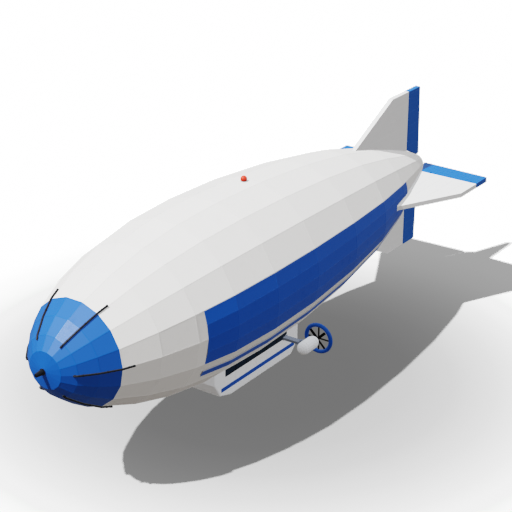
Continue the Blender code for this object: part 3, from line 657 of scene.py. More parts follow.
# %% [markdown]
# ## Hems of the side panels
# Each blue panel has five lines along it, ten degrees apart, and stands a little
# outside the corners of the hull. A hem runs round its border and a seam covers each
# inner line and each ring, in the same cloth. The stripe below it has a hem along
# both edges and its front end. The front hems and the stripe's lower one hang over by
# three centimetres, so that both are as wide as in the picture.

# %% Panel hems
PANEL_Y = (-7.581, 10.740)
PANEL_LINES = (-20, -10, 0, 10, 19.6)
PANEL_PROUD = 0.0125
STRIPE_Y = (-7.480, 10.600)
STRIPE_LINES = (-32.2, -27.8)
STRIPE_MIDDLE = -30
HEM = 0.055
HEM_T = 0.0025
CROSS_T = 0.0035
STRIPE_HEM = 0.045
OVERHANG = 0.030
UPPER_OVERHANG = 0.012
INSET = 0.002
# The stripe's hems reach this far into the moulding under them
HEM_DEEP = 0.008
# Widths of the tape on each line, towards the line below and the line above
HEM_WIDTHS = ((0, HEM), (NARROW, NARROW), (NARROW, NARROW), (NARROW, NARROW), (HEM, 0))
PANEL_TAPE = surface("panel_seam_blue", (0.003, 0.102, 0.475), 0.44, shine=0.35)


def flank_angle(sign, degrees):
    return degrees if sign > 0 else 180 - degrees


def on_panel(degrees, y):
    """Point of the panel's or the stripe's outer face."""
    return on_corner(degrees, y, PANEL_PROUD)


for side, sign in SIDES:
    hems = bmesh.new()
    lines = [flank_angle(sign, line) for line in PANEL_LINES]
    ends = (PANEL_Y[0] + INSET, PANEL_Y[1] - INSET)
    for k, (below, above) in enumerate(HEM_WIDTHS):
        # The outer lines have no tape beyond them, so what their missing neighbour is doesn't matter
        sides = ((lines[k - 1], below), (lines[(k + 1) % len(lines)], above))
        seam(hems, on_panel, lines[k], sides, ends, HEM_T)
    for y in span_of(*PANEL_Y)[1:-1]:
        band(hems, on_panel, lines, y, NARROW, NARROW, CROSS_T)
    band(hems, on_panel, lines, ends[0], OVERHANG, HEM, CROSS_T)
    band(hems, on_panel, lines, ends[1], HEM, 0, CROSS_T)
    piece("panel_hems_" + side, hems, PANEL_TAPE)

    hems = bmesh.new()
    out = around(flank_angle(sign, STRIPE_MIDDLE))
    low, high = [flank_angle(sign, line) for line in STRIPE_LINES]
    for line, beyond, over in ((low, high, OVERHANG), (high, low, UPPER_OVERHANG)):
        stations = []
        for y in span_of(STRIPE_Y[0] - OVERHANG, STRIPE_Y[1]):
            here = on_panel(line, y)
            inwards = (on_panel(beyond, y) - here).normalized()
            here += out * HEM_T
            stations.append((here - inwards * over, here + inwards * STRIPE_HEM))
        strip(hems, stations, out, HEM_DEEP)
    stations = []
    for y in (STRIPE_Y[0] - OVERHANG, STRIPE_Y[0] + HEM):
        stations.append([on_panel(line, y) + out * HEM_T for line in (low, high)])
    strip(hems, stations, out, HEM_DEEP - 0.001)
    piece("stripe_hems_" + side, hems, PANEL_TAPE)
tell("hems", 4)

# %% [markdown]
# ## Nose
# Six rods stiffen the nose, so that wind can't push it in while the ship is moored.
# Each rod is held by clips, a strap over the rod with a foot on each side, and ends
# in a rubber shoe.

# %% Nose rod clips
ROD_R = 0.040
ROD_SIDES = 16
CLIP_AT = (0.12, 0.5, 0.88)
CLIP_HALF = 0.018
CLIP_RADII = (ROD_R - 0.002, ROD_R + 0.005)
FOOT_T = 0.012
SHOE_AT = 0.02
SHOE_SPAN = (-0.032, 0.058)
SHOE_RADII = (ROD_R - 0.003, ROD_R + 0.004)


def rod_point(degrees, y):
    """Middle of a rod at y, the way that it runs there, the way to its side and the way out."""
    here = on_corner(degrees, y, ROD_R + 0.004)
    run = (on_corner(degrees, y + NEAR / 2) - on_corner(degrees, y - NEAR / 2)).normalized()
    aside = AFT.cross(around(degrees))
    return here, run, aside, aside.cross(run).normalized()


clips = bmesh.new()
cap_feet = bmesh.new()
hull_feet = bmesh.new()
shoes = bmesh.new()
for degrees in ROD_ANGLES:
    for share in CLIP_AT:
        y = ROD_Y[0] + (ROD_Y[1] - ROD_Y[0]) * share
        middle, run, aside, out = rod_point(degrees, y)
        hoop(clips, middle, run, out, CLIP_RADII, (-CLIP_HALF, CLIP_HALF), ROD_SIDES)
        feet = cap_feet if y < CAP_RIM_Y else hull_feet
        for way in (-1, 1):
            foot = middle + aside * (way * (ROD_R + CLIP_HALF)) - out * (ROD_R + FOOT_T)
            plate(feet, foot, out, run, (2 * CLIP_HALF, 0.040, FOOT_T), 0.002)
            stud(feet, foot + out * FOOT_T, out, 0.007, 0.004)
    for end, way in ((ROD_Y[0], 1), (ROD_Y[1], -1)):
        middle, run, aside, out = rod_point(degrees, end + way * SHOE_AT)
        span = sorted(way * along for along in SHOE_SPAN)
        hoop(shoes, middle, run, out, SHOE_RADII, span, ROD_SIDES)
ROD_CLIP = surface("rod_clip_enamel", (0.010, 0.011, 0.014), 0.42, shine=0.2, cloud=0.12)
RUBBER = surface("black_rubber", (0.006, 0.007, 0.010), 0.62, shine=0.12, cloud=0.12)
piece("nose_rod_clips", clips, ROD_CLIP)
piece("nose_clip_feet_cap", cap_feet, TAPE_CAP_BLUE)
piece("nose_clip_feet_hull", hull_feet, TAPE_WHITE)
piece("nose_rod_shoes", shoes, RUBBER)
tell("nose rod trim", 4)

# %% [markdown]
# The spindle sits in a bolted collar. It wears a sleeve with a blunt end, as thick as
# in the picture, which leaves the spindle's own flat tip free for the mast.

# %% Spindle
COLLAR = Vector((0, -13.530, 0))
# Each hoop has its two radii, and its start and end along the axis
COLLAR_HOOPS = (((0.112, 0.140), (0.0, 0.045)), ((0.112, 0.124), (-0.016, 0.0)))
# Number of bolts, radius of their ring, radius and height of a head
COLLAR_BOLTS = (8, 0.132, 0.006, 0.006)
SLEEVE_Y = (-13.890, -13.560)
SLEEVE_R = (0.080, 0.112)
collar = bmesh.new()
for radii, span in COLLAR_HOOPS:
    hoop(collar, COLLAR, AFT, UP, radii, span)
stud_ring(collar, COLLAR, -AFT, around(22.5), *COLLAR_BOLTS)
COLLAR_STEEL = surface("spindle_collar_steel", (0.006, 0.008, 0.012), 0.45, shine=0.25, cloud=0.12)
piece("spindle_collar", collar, COLLAR_STEEL)

sleeve = bmesh.new()
length = SLEEVE_Y[1] - SLEEVE_Y[0]
drum(sleeve, AFT * SLEEVE_Y[1], -AFT, SLEEVE_R[1], length, 24, SLEEVE_R[0] / SLEEVE_R[1])
rims = [edge for edge in sleeve.edges if abs(edge.verts[0].co.y - edge.verts[1].co.y) < 0.001]
soften(sleeve, rims, 0.008)
piece("spindle_sleeve", sleeve, COLLAR_STEEL)
tell("spindle trim", 2)

# %% [markdown]
# ## Beacon
# The red lamp stands in a low grey flange with eight screws, on a doubler patch of
# hull cloth. The hull slopes there, so flange and patch lean with it.

# %% Beacon trim
BEACON_Y = -0.315
FLANGE_HOOPS = (((0.106, 0.150), (-0.004, 0.016)), ((0.103, 0.118), (0.016, 0.030)))
FLANGE_TOP = 0.016
FLANGE_SCREWS = (8, 0.136, 0.006, 0.004)
PATCH_HOOP = ((0.100, 0.235), (0.0005, 0.003))
beacon_foot = Vector((0, BEACON_Y, radius_at(BEACON_Y) * FLAT))
slope = (radius_at(BEACON_Y + NEAR) - radius_at(BEACON_Y - NEAR)) * FLAT / (2 * NEAR)
beacon_out = Vector((0, -slope, 1)).normalized()
flange = bmesh.new()
for radii, span in FLANGE_HOOPS:
    hoop(flange, beacon_foot, beacon_out, RIGHT, radii, span, 40)
stud_ring(flange, beacon_foot + beacon_out * FLANGE_TOP, beacon_out, RIGHT, *FLANGE_SCREWS)
patch = bmesh.new()
hoop(patch, beacon_foot, beacon_out, RIGHT, *PATCH_HOOP, 48)
FITTING_GREY = surface("fitting_enamel", (0.42, 0.43, 0.45), 0.42, cloud=0.05)
piece("beacon_flange", flange, FITTING_GREY)
piece("beacon_patch", patch, TAPE_WHITE)
print("beacon stands at z", round(beacon_foot.z, 3))

# %% [markdown]
# ## Fins
# The four fins are the same, so each piece is made for the top fin and then turned
# about the ship's axis. Only their seats differ: the upright fins stand on the middle
# of a gore, and the level ones on a corner, where the side panel ends.

# %% Fin measures
FIN_HALF = 0.105
FIN_TIP = 4.200
FIN_LE_TIP_Y = 12.267
FIN_TE_Y = 13.860
FIN_SLOPE = 0.497
# Columns: fin, its control surface, turn about the axis in degrees
TAIL = (
    ("fin_top", "rudder_top", 0),
    ("fin_port", "elevator_port", 90),
    ("fin_bottom", "rudder_bottom", 180),
    ("fin_starboard", "elevator_starboard", 270),
)
UPRIGHT = (0, 180)
# The search for a fin's front starts here and goes aft in steps
SEARCH_FROM = 8.0
SEARCH_STEP = 0.005


def leading_edge(height):
    return FIN_LE_TIP_Y - (FIN_TIP - height) / FIN_SLOPE


def seat(degrees, aside, y):
    """Height of the skin that a fin stands on, at a distance from the fin's middle."""
    if degrees in UPRIGHT:
        return radius_at(y) * FLAT
    # The skin falls away from a corner by half the angle between two lines
    has_panel = y < PANEL_Y[1]
    lean = math.radians(5 if has_panel else 10)
    return radius_at(y) + (PANEL_PROUD if has_panel else 0.0) - aside * math.tan(lean)


def first_seat(degrees):
    """Where the leading edge comes out of the skin."""
    y = SEARCH_FROM
    while leading_edge(seat(degrees, FIN_HALF, y)) > y:
        y += SEARCH_STEP
    return y


print("leading edges leave the skin at y", [round(first_seat(row[2]), 2) for row in TAIL])

# %% [markdown]
# A fin is a light frame under cloth. Where the cloth is laced to a rib, a tape runs
# over it from the leading edge to the trailing edge. A strip is folded over the
# leading edge and the tip. The control surfaces are made in the same way, so these
# tools serve both.

# %% Tail tools
RIB_WIDE = 0.044
RIB_T = 0.0025
CAP_T = 0.003


def tail_piece(name, bm, degrees, coat, flap=None):
    """Turn what was made for the top fin to its own fin; it rides on the ship or on a control surface."""
    bmesh.ops.transform(bm, matrix=Matrix.Rotation(math.radians(degrees), 4, "Y"), verts=bm.verts[:])
    piece(name, bm, coat, flap or "ship")


def rib_tapes(half, ribs):
    """Tapes along the ship on both faces; each rib is its height, its first y and its last."""
    bm = bmesh.new()
    for way in (-1, 1):
        for height, y0, y1 in ribs:
            centre = Vector((way * half, (y0 + y1) / 2, height))
            plate(bm, centre, RIGHT * way, AFT, (y1 - y0, RIB_WIDE, RIB_T))
    return bm


def edge_wrap(half, bends, deep):
    """Strip folded over an edge; bends are points of the edge, each with its way inwards."""
    bm = bmesh.new()
    stations = []
    for point, into in bends:
        row = []
        for way, depth in ((-1, deep), (-1, -CAP_T), (1, -CAP_T), (1, deep)):
            row.append(point + RIGHT * (way * (half + CAP_T)) + into * depth)
        stations.append(row)
    strip(bm, stations, -RIGHT, CAP_T - CLEAR)
    return bm


print("rib tapes:", RIB_WIDE, "m wide")

# %% [markdown]
# An angle strip closes the joint between fin and hull, and bends where the skin does.
# Each of the three lugs that carry the control surface is bolted through a plate on
# both faces of the fin.

# %% Fin trim
FIN_RIBS = (1.85, 2.40, 3.00, 3.60)
CAP_WIDTH = 0.055
ROOT_LEG = 0.050
# Distances from the leading edge, from the root and from the trailing edge
RIB_START = CAP_WIDTH * 2.2
CAP_START = 0.04
CAP_STOP = 0.01
TAPE_STOP = 0.03
LUG_SPANS = (1.55, 2.70, 3.85)
HINGE_PLATE = (0.13, 0.075, 0.004)
HINGE_PLATE_Y = FIN_TE_Y - 0.085
HINGE_BOLTS = (-0.045, 0.0, 0.045)
FITTING_WHITE = surface("fitting_enamel_white", (0.80, 0.80, 0.81), 0.38, cloud=0.02)
FIN_TAPE = surface("fin_tape_white", (0.85, 0.85, 0.855), 0.45, cloud=0.01, grain_scale=60.0)
inward = Vector((0, FIN_SLOPE, -1)).normalized()
for fin, flap, degrees in TAIL:
    start = first_seat(degrees)
    ribs = [(height, max(leading_edge(height) + RIB_START, start), FIN_TE_Y - TAPE_STOP)
            for height in FIN_RIBS]
    tail_piece(fin + "_rib_tapes", rib_tapes(FIN_HALF, ribs), degrees, FIN_TAPE)

    low = seat(degrees, FIN_HALF, start) + CAP_START
    bends = (
        (Vector((0, leading_edge(low), low)), inward),
        (Vector((0, FIN_LE_TIP_Y, FIN_TIP)), (inward - UP) / (1 - inward.dot(UP))),
        (Vector((0, FIN_TE_Y - CAP_STOP, FIN_TIP)), -UP),
    )
    tail_piece(fin + "_edge_cap", edge_wrap(FIN_HALF, bends, CAP_WIDTH), degrees, FIN_TAPE)

    root = bmesh.new()
    stops = [] if degrees in UPRIGHT else [PANEL_Y[1], PANEL_Y[1] + 0.001]
    face = FIN_HALF + CAP_T
    for way in (-1, 1):
        stations = []
        for y in sorted(span_of(start + 0.02, FIN_TE_Y - TAPE_STOP) + stops):
            foot = Vector((way * face, y, seat(degrees, FIN_HALF, y) + CAP_T))
            outer = seat(degrees, FIN_HALF + ROOT_LEG, y) + CAP_T
            stations.append([foot + UP * ROOT_LEG, foot, Vector((way * (FIN_HALF + ROOT_LEG), y, outer))])
        strip(root, stations, RIGHT * way, CAP_T - CLEAR)
    tail_piece(fin + "_root_angle", root, degrees, FIN_TAPE)

    hinges = bmesh.new()
    for way in (-1, 1):
        for height in LUG_SPANS:
            centre = Vector((way * FIN_HALF, HINGE_PLATE_Y, height))
            plate(hinges, centre, RIGHT * way, AFT, HINGE_PLATE, 0.0015)
            for dy in HINGE_BOLTS:
                stud(hinges, centre + Vector((way * HINGE_PLATE[2], dy, 0)), RIGHT * way, 0.008, 0.005)
    tail_piece(fin + "_hinge_plates", hinges, degrees, FITTING_WHITE)
tell("fin trim", 4)

# %% [markdown]
# ## Rudders and elevators
# Two neighbours may swing towards each other, and the corners at their roots would
# meet. So two sloping planes cut what is added there back to halfway between them,
# which leaves a ridge along the middle of the root.

# %% Room between neighbours
HINGE_Y = FIN_TE_Y + 0.075
STOP = math.radians(25)
STOP_ROOM = 0.006


def clear_neighbours(bm):
    """Cut off what would pass the halfway plane when the surface is at either stop."""
    for way in (-1, 1):
        outside = Vector((way * math.cos(STOP), math.sin(STOP), -1))
        whole = bm.verts[:] + bm.edges[:] + bm.faces[:]
        cut = bmesh.ops.bisect_plane(bm, geom=whole, dist=WELD / 2, plane_co=(0, HINGE_Y, STOP_ROOM),
                                     plane_no=outside, clear_outer=True)
        rim = [item for item in cut["geom_cut"] if isinstance(item, bmesh.types.BMEdge)]
        bmesh.ops.holes_fill(bm, edges=rim, sides=0)


print("hinges at y", round(HINGE_Y, 3))

# %% [markdown]
# The control surfaces have rib tapes as well, and an edge strip round the tip and the
# trailing edge. In the picture they get deeper towards the root, so a long wedge
# sits on the trailing edge, a hand wide at the root and nothing at the tip. The root
# can't touch the hull, which falls away under it, so a rubber blade hangs from it and
# fills most of the gap.

# %% Control surface trim
FLAP_HALF = 0.120
FLAP_TE_Y = 14.952
FLAP_RIBS = (1.26, 1.90, 2.34, 3.06, 3.50, 4.06)
FLAP_FRONT = HINGE_Y + 0.03
RIB_END = FLAP_TE_Y - 0.05
STRIP_DEEP = CAP_WIDTH * 0.8
# Start of the wedge down the trailing edge, and its corner at the root as y and height
WEDGE_START = 0.556
WEDGE_FOOT = (15.070, 0.450)
WEDGE_TOP = 4.190
# Columns: y, height of the root, gap under an elevator's blade, gap under a rudder's blade
BLADE_ROOT = (
    (13.878, 1.041, 0.007, 0.013), (14.070, 0.965, 0.007, 0.019), (14.200, 0.904, 0.007, 0.028),
    (14.300, 0.857, 0.007, 0.027), (14.400, 0.810, 0.007, 0.022), (14.500, 0.764, 0.007, 0.019),
    (14.948, 0.554, 0.007, 0.014), (14.994, 0.516, 0.013, 0.016), (15.064, 0.456, 0.022, 0.024),
)
BLADE_HALF = 0.020
BLADE_LAP = 0.012
FLAP_TAPE = surface("control_tape_blue", (0.004, 0.118, 0.475), 0.42, shine=0.38)
SEAL_BLUE = surface("root_seal_blue", (0.004, 0.085, 0.36), 0.6, shine=0.25)
ribs = [(height, FLAP_FRONT, RIB_END) for height in FLAP_RIBS]
bends = (
    (Vector((0, FLAP_FRONT, FIN_TIP)), -UP),
    (Vector((0, FLAP_TE_Y, FIN_TIP)), -UP - AFT),
    (Vector((0, WEDGE_FOOT[0], WEDGE_FOOT[1] + 0.02)), -AFT),
)
for fin, flap, degrees in TAIL:
    tail_piece(flap + "_rib_tapes", rib_tapes(FLAP_HALF, ribs), degrees, FLAP_TAPE, flap)

    edge = edge_wrap(FLAP_HALF, bends, STRIP_DEEP)
    clear_neighbours(edge)
    tail_piece(flap + "_edge_strip", edge, degrees, FLAP_TAPE, flap)

    wedge = bmesh.new()
    face = FLAP_HALF - CLEAR
    start = FLAP_TE_Y - 0.006
    strip(wedge, (
        (Vector((face, start, WEDGE_TOP)), Vector((face, FLAP_TE_Y, WEDGE_TOP))),
        (Vector((face, start, WEDGE_START)), Vector((face, *WEDGE_FOOT))),
    ), RIGHT, 2 * face)
    clear_neighbours(wedge)
    tail_piece(flap + "_trailing_wedge", wedge, degrees, FINISHES["tail_blue"], flap)

    seal = bmesh.new()
    stations = []
    for y, root, side_gap, upright_gap in BLADE_ROOT:
        low = seat(degrees, 0.0, y) + (upright_gap if degrees in UPRIGHT else side_gap)
        stations.append((Vector((BLADE_HALF, y, root + BLADE_LAP)), Vector((BLADE_HALF, y, low))))
    strip(seal, stations, RIGHT, 2 * BLADE_HALF)
    clear_neighbours(seal)
    tail_piece(flap + "_root_seal", seal, degrees, SEAL_BLUE, flap)
tell("control surface trim", 4)

# %% [markdown]
# ## Car
# The car hangs right under the belly. Its windows are one dark band outside the wall,
# so the frames are rubber: a gasket round the band and a bar over each pillar.

# %% Window gaskets
CAR_HALF = 0.840
CAR_FRONT = -3.738
GLASS_FACE = CAR_HALF + 0.0083
GLASS_Z = (-4.590, -3.950)
# Columns: side, first y, last y, pillars, end of the lower bar, foot of the last post
WINDOW_BANDS = (
    (1, -2.925, 1.900, (-2.140, -1.340, -0.540, 0.260, 1.060), 1.590, -4.400),
    (-1, -2.925, 0.260, (-2.140, -1.340, -0.540), 0.260, -4.590),
    (-1, 1.210, 1.900, (), 1.590, -4.400),
)
BAR = 0.028
BAR_T = 0.005
PILLAR_HALF = 0.0224
PILLAR_T = 0.004
SCREEN = (0.650, -4.360, -3.930)
SCREEN_FACE = CAR_FRONT - 0.0083
BAR_ROUNDING = 0.0015


def wall_bar(bm, sign, x, y_span, z_span, height, rounding=BAR_ROUNDING):
    """Flat bar on a side wall that fills a span of y and a span of z."""
    centre = Vector((sign * x, sum(y_span) / 2, sum(z_span) / 2))
    size = (y_span[1] - y_span[0], z_span[1] - z_span[0], height)
    plate(bm, centre, RIGHT * sign, AFT, size, rounding)


frames = bmesh.new()
foot, head = GLASS_Z
inner = (foot + BAR, head - BAR)
for sign, first, last, pillars, low_end, post_foot in WINDOW_BANDS:
    wall_bar(frames, sign, GLASS_FACE, (first, last), (inner[1], head), BAR_T)
    wall_bar(frames, sign, GLASS_FACE, (first, low_end), (foot, inner[0]), BAR_T)
    wall_bar(frames, sign, GLASS_FACE, (first, first + BAR), inner, BAR_T)
    wall_bar(frames, sign, GLASS_FACE, (last - BAR, last), (max(post_foot, inner[0]), inner[1]), BAR_T)
    for y in pillars:
        wall_bar(frames, sign, GLASS_FACE, (y - PILLAR_HALF, y + PILLAR_HALF), inner, PILLAR_T)
half, low, high = SCREEN
for z in (low + BAR / 2, high - BAR / 2):
    plate(frames, Vector((0, SCREEN_FACE, z)), -AFT, RIGHT, (half * 2, BAR, BAR_T), BAR_ROUNDING)
for x, width in ((-half + BAR / 2, BAR), (0, BAR * 1.4), (half - BAR / 2, BAR)):
    size = (high - low - BAR * 2, width, BAR_T)
    plate(frames, Vector((x, SCREEN_FACE, (low + high) / 2)), -AFT, UP, size, BAR_ROUNDING)
piece("window_gaskets", frames, RUBBER)
tell("car windows", 1)

# %% [markdown]
# Blue beading runs along both edges of the painted stripe. The wall panels are riveted
# above and below it, a strip covers each joint between them, and the car's keel has
# two rubbing strips.

# %% Car walls
CAR_STRIPE_Y = (-3.238, 2.520)
CAR_STRIPE_Z = (-5.256, -5.083)
BEAD_HALF = 0.012
BEAD_T = 0.0055
stripe_edges = bmesh.new()
for side, sign in SIDES:
    for z in CAR_STRIPE_Z:
        wall_bar(stripe_edges, sign, CAR_HALF, CAR_STRIPE_Y, (z - BEAD_HALF, z + BEAD_HALF), BEAD_T, 0.002)
piece("car_stripe_edges", stripe_edges, STRIPE_BLUE)

RIVET_ROWS = (-5.050, -5.290)
RIVET_Y = (-3.10, 2.48)
RIVET_STEP = 0.12
SEAM_Y = {1: (-2.14, -1.34, -0.54, 0.26, 1.06), -1: (-2.14, -1.34, -0.54, 0.26, 1.55)}
SEAM_Z = -4.835
SEAM_STRIP = (0.41, 0.035, 0.0015)
SEAM_RIVETS_Y = (-0.028, 0.028)
SEAM_RIVETS_Z = [-5.0 + 0.066 * k for k in range(6)]
CAR_BOTTOM = -5.660
SKID = (4.5, 0.05, 0.008)
SKIDS_X = (-0.25, 0.25)
SKID_Y = -0.10
CAR_ENAMEL = surface("car_trim_enamel", (0.88, 0.90, 0.935), 0.42, cloud=0.01)
rivets = bmesh.new()
seams = bmesh.new()
steps = int((RIVET_Y[1] - RIVET_Y[0]) / RIVET_STEP)
for side, sign in SIDES:
    out = RIGHT * sign
    wall = out * CAR_HALF
    for z in RIVET_ROWS:
        for k in range(steps + 1):
            stud(rivets, wall + Vector((0, RIVET_Y[0] + RIVET_STEP * k, z)), out, 0.007, 0.0025, 8)
    for y in SEAM_Y[sign]:
        plate(seams, wall + Vector((0, y, SEAM_Z)), out, UP, SEAM_STRIP)
        for z in SEAM_RIVETS_Z:
            for dy in SEAM_RIVETS_Y:
                stud(rivets, wall + Vector((0, y + dy, z)), out, 0.005, 0.002)
for x in SKIDS_X:
    plate(seams, Vector((x, SKID_Y, CAR_BOTTOM)), -UP, AFT, SKID, 0.002)
piece("car_rivets", rivets, CAR_ENAMEL)
piece("car_seam_strips", seams, CAR_ENAMEL)
tell("car walls", 3)

# %% [markdown]
# A soft seal closes the joint between the car and the hull. Each side of it is an
# angle strip, with one leg on the wall and one on the belly. The belly is flat in the
# middle and slopes up past the first corners, so the strips bend there.

# %% Hull seal
CAR_BACK = 2.856
SEAL_LEG = 0.045
SEAL_ENDS = 0.07


def under_hull(x, y):
    """Point just under the belly of the hull, at a distance x from the middle."""
    inner = Vector((math.sin(HALF_GORE), math.cos(HALF_GORE))) * radius_at(y)
    outer = Vector((math.sin(HALF_GORE * 3), math.cos(HALF_GORE * 3))) * radius_at(y)
    share = max(abs(x) - inner.x, 0.0) / (outer.x - inner.x)
    return Vector((x, y, -inner.y - (outer.y - inner.y) * share - TAPE_T))


def seal_row(bend, edge):
    """Row across the seal, from the car's wall round the bend to the edge on the hull."""
    corner = under_hull(*bend)
    return [corner - UP * SEAL_LEG, corner, under_hull(*edge)]


seal = bmesh.new()
for side, sign in SIDES:
    stations = []
    for y in span_of(CAR_FRONT + SEAL_ENDS, CAR_BACK - SEAL_ENDS):
        stations.append(seal_row((sign * (CAR_HALF + TAPE_T), y), (sign * (CAR_HALF + SEAL_LEG), y)))
    strip(seal, stations, RIGHT * sign, TAPE_T - CLEAR)
for end, way in ((CAR_FRONT, -1), (CAR_BACK, 1)):
    fold = radius_at(end) * math.sin(HALF_GORE)
    stations = []
    for x in (-CAR_HALF + SEAL_ENDS, -fold, fold, CAR_HALF - SEAL_ENDS):
        stations.append(seal_row((x, end + way * TAPE_T), (x, end + way * SEAL_LEG)))
    strip(seal, stations, AFT * way, TAPE_T - CLEAR)
piece("car_hull_seal", seal, CAR_ENAMEL)
tell("car joint", 1)

# %% [markdown]
# ## Door
# The door is on the starboard side, hinged at its front edge. A frame of flat strips
# stands round the other three sides of the doorway. The lever, its plate and the
# window's gasket move with the door.

# %% Door trim
DOOR_Y = (0.600, 1.060)
DOOR_Z = (-5.080, -4.060)
DOOR_PANE = (0.655, 1.045, -4.615, -4.145)
FRAME_W = 0.035
FRAME_AWAY = 0.012
FRAME_T = 0.004
PANE_FACE = CAR_HALF + 0.0063
RIM = 0.016
LEVER = Vector((-CAR_HALF, 1.005, -4.80))
LEVER_PLATE = (0.12, 0.045, 0.004)
LEVER_GRIP = (0.12, 0.020, 0.009)
STEEL = surface("bright_steel", (0.42, 0.44, 0.47), 0.32, cloud=0.06, metal=0.8)
door_frame = bmesh.new()
low = DOOR_Z[0] - FRAME_AWAY
high = DOOR_Z[1] + FRAME_AWAY
back = DOOR_Y[1] + FRAME_AWAY
bars = [((DOOR_Y[0] + 0.03, back + FRAME_W), (z, z + FRAME_W)) for z in (low - FRAME_W, high)]
for y_span, z_span in bars + [((back, back + FRAME_W), (low, high))]:
    wall_bar(door_frame, -1, CAR_HALF, y_span, z_span, FRAME_T, 0.001)
piece("door_frame", door_frame, CAR_ENAMEL)

y0, y1, z0, z1 = DOOR_PANE
gasket = bmesh.new()
bars = [((y0, y1), (z, z + RIM)) for z in (z0, z1 - RIM)]
bars += [((y, y + RIM), (z0 + RIM, z1 - RIM)) for y in (y0, y1 - RIM)]
for y_span, z_span in bars:
    wall_bar(gasket, -1, PANE_FACE, y_span, z_span, FRAME_T, 0.001)
piece("door_window_gasket", gasket, RUBBER, "door")

lever = bmesh.new()
plate(lever, LEVER, -RIGHT, UP, LEVER_PLATE, BAR_ROUNDING)
stud(lever, LEVER - RIGHT * LEVER_PLATE[2], -RIGHT, 0.014, 0.018, 16)
plate(lever, LEVER + Vector((-0.018, -0.045, 0)), -RIGHT, AFT, LEVER_GRIP, 0.003)
piece("door_lever", lever, STEEL, "door")
tell("door trim", 3)

# %% [markdown]
# ## Outriggers
# In the picture an outrigger is a flat box beam: three times as deep as it is tall,
# with a bright top and a dull front. CAD carries the pod on a plain round strut, so a
# beam stands for it here. It is bolted to the car's wall and ends in a round bearing
# on the line that the pod tilts about. A darker, duller grey plate on its front face
# is painted shade, for that dull front.

# %% Outrigger beams
POD_X = 2.142
POD_Y = 1.873
POD_Z = -4.574
BEAM_Y = 1.762
BEAM_Z = -4.560
BEAM_DEEP = 0.300
BEAM_TALL = 0.124
BEAM_END = 1.660
STRUT_END = 1.700
STRUT_R = 0.105
SPIGOT_R = 0.060
SPIGOT_END = 1.950
BEARING_START = 1.600
FOOT_RIM = 0.07
BOLTS_Y = (-0.172, -0.06, 0.06, 0.172)
BOLTS_Z = (-0.072, 0.072)
BEAM_GREY = surface("beam_enamel", (0.185, 0.222, 0.300), 0.45)
STRUT_TRIM = surface("strut_trim_enamel", (0.150, 0.182, 0.250), 0.40)
FRONT_SHADE_GREY = surface("beam_front_shade", (0.186, 0.212, 0.262), 0.65, shine=0.2)
for side, sign in SIDES:
    out = RIGHT * sign
    root = Vector((0, POD_Y, POD_Z))
    beam = bmesh.new()
    length = BEAM_END - CAR_HALF
    middle = Vector((sign * (CAR_HALF + length / 2), BEAM_Y, BEAM_Z - BEAM_TALL / 2))
    plate(beam, middle, UP, RIGHT, (length, BEAM_DEEP, BEAM_TALL), 0.006)
    drum(beam, root + out * BEARING_START, out, STRUT_R, STRUT_END - BEARING_START)
    drum(beam, root + out * STRUT_END, out, SPIGOT_R, SPIGOT_END - STRUT_END)
    item = piece("outrigger_beam_" + side, beam, BEAM_GREY)
    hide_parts("outrigger_" + side)

    # Plate over the beam's front face: painted shade, darker and duller than the beam
    front_shade = bmesh.new()
    front = middle + Vector((0, -BEAM_DEEP / 2, BEAM_TALL / 2))
    plate(front_shade, front, -AFT, RIGHT, (length - 0.030, BEAM_TALL - 0.004, 0.006), 0.002)
    piece("outrigger_front_shade_" + side, front_shade, FRONT_SHADE_GREY)

    fixed = bmesh.new()
    foot = Vector((sign * (CAR_HALF + CLEAR), BEAM_Y, BEAM_Z))
    plate(fixed, foot, out, AFT, (BEAM_DEEP + FOOT_RIM, BEAM_TALL + FOOT_RIM, 0.010), 0.003)
    for dy in BOLTS_Y:
        for dz in BOLTS_Z:
            stud(fixed, foot + Vector((sign * 0.010, dy, dz)), out, 0.008, 0.008)
    hoop(fixed, root, out, UP, (STRUT_R - 0.001, STRUT_R + 0.006), (BEAM_END + 0.004, STRUT_END - 0.014))
    piece("outrigger_trim_" + side, fixed, STRUT_TRIM)
tell("outriggers", 6)

# %% [markdown]
# ## Pods
# The pod's trim moves with the pod: a grey sleeve over its boss, two seam bands with
# latches round the nacelle, bands over the joints of the duct, and fairings that make
# the four duct struts as thick as they look in the picture.

# %% Pod trim
BOSS_R = 0.125
NACELLE_R = 0.311
DUCT_Y = 2.646
DUCT_R = 0.672
DUCT_TUBE = 0.095
BANDS_Y = (1.410, 2.075)
BAND_HALF = 0.014
NACELLE_SIDES = 16
LATCHES_AT = (56.25, 123.75)
FAIRING_START = 0.080
PAD_HALF = 0.020
BAND_GREY = surface("nacelle_band_enamel", (0.84, 0.87, 0.91), 0.36, cloud=0.01)
FAIRING_BLACK = surface("fairing_enamel", (0.002, 0.002, 0.003), 0.45, shine=0.15, cloud=0.1)
DUCT_BAND = surface("duct_band_enamel", (0.003, 0.098, 0.45), 0.38, shine=0.38)


def shaft_point(sign, y):
    return Vector((sign * POD_X, y, POD_Z))


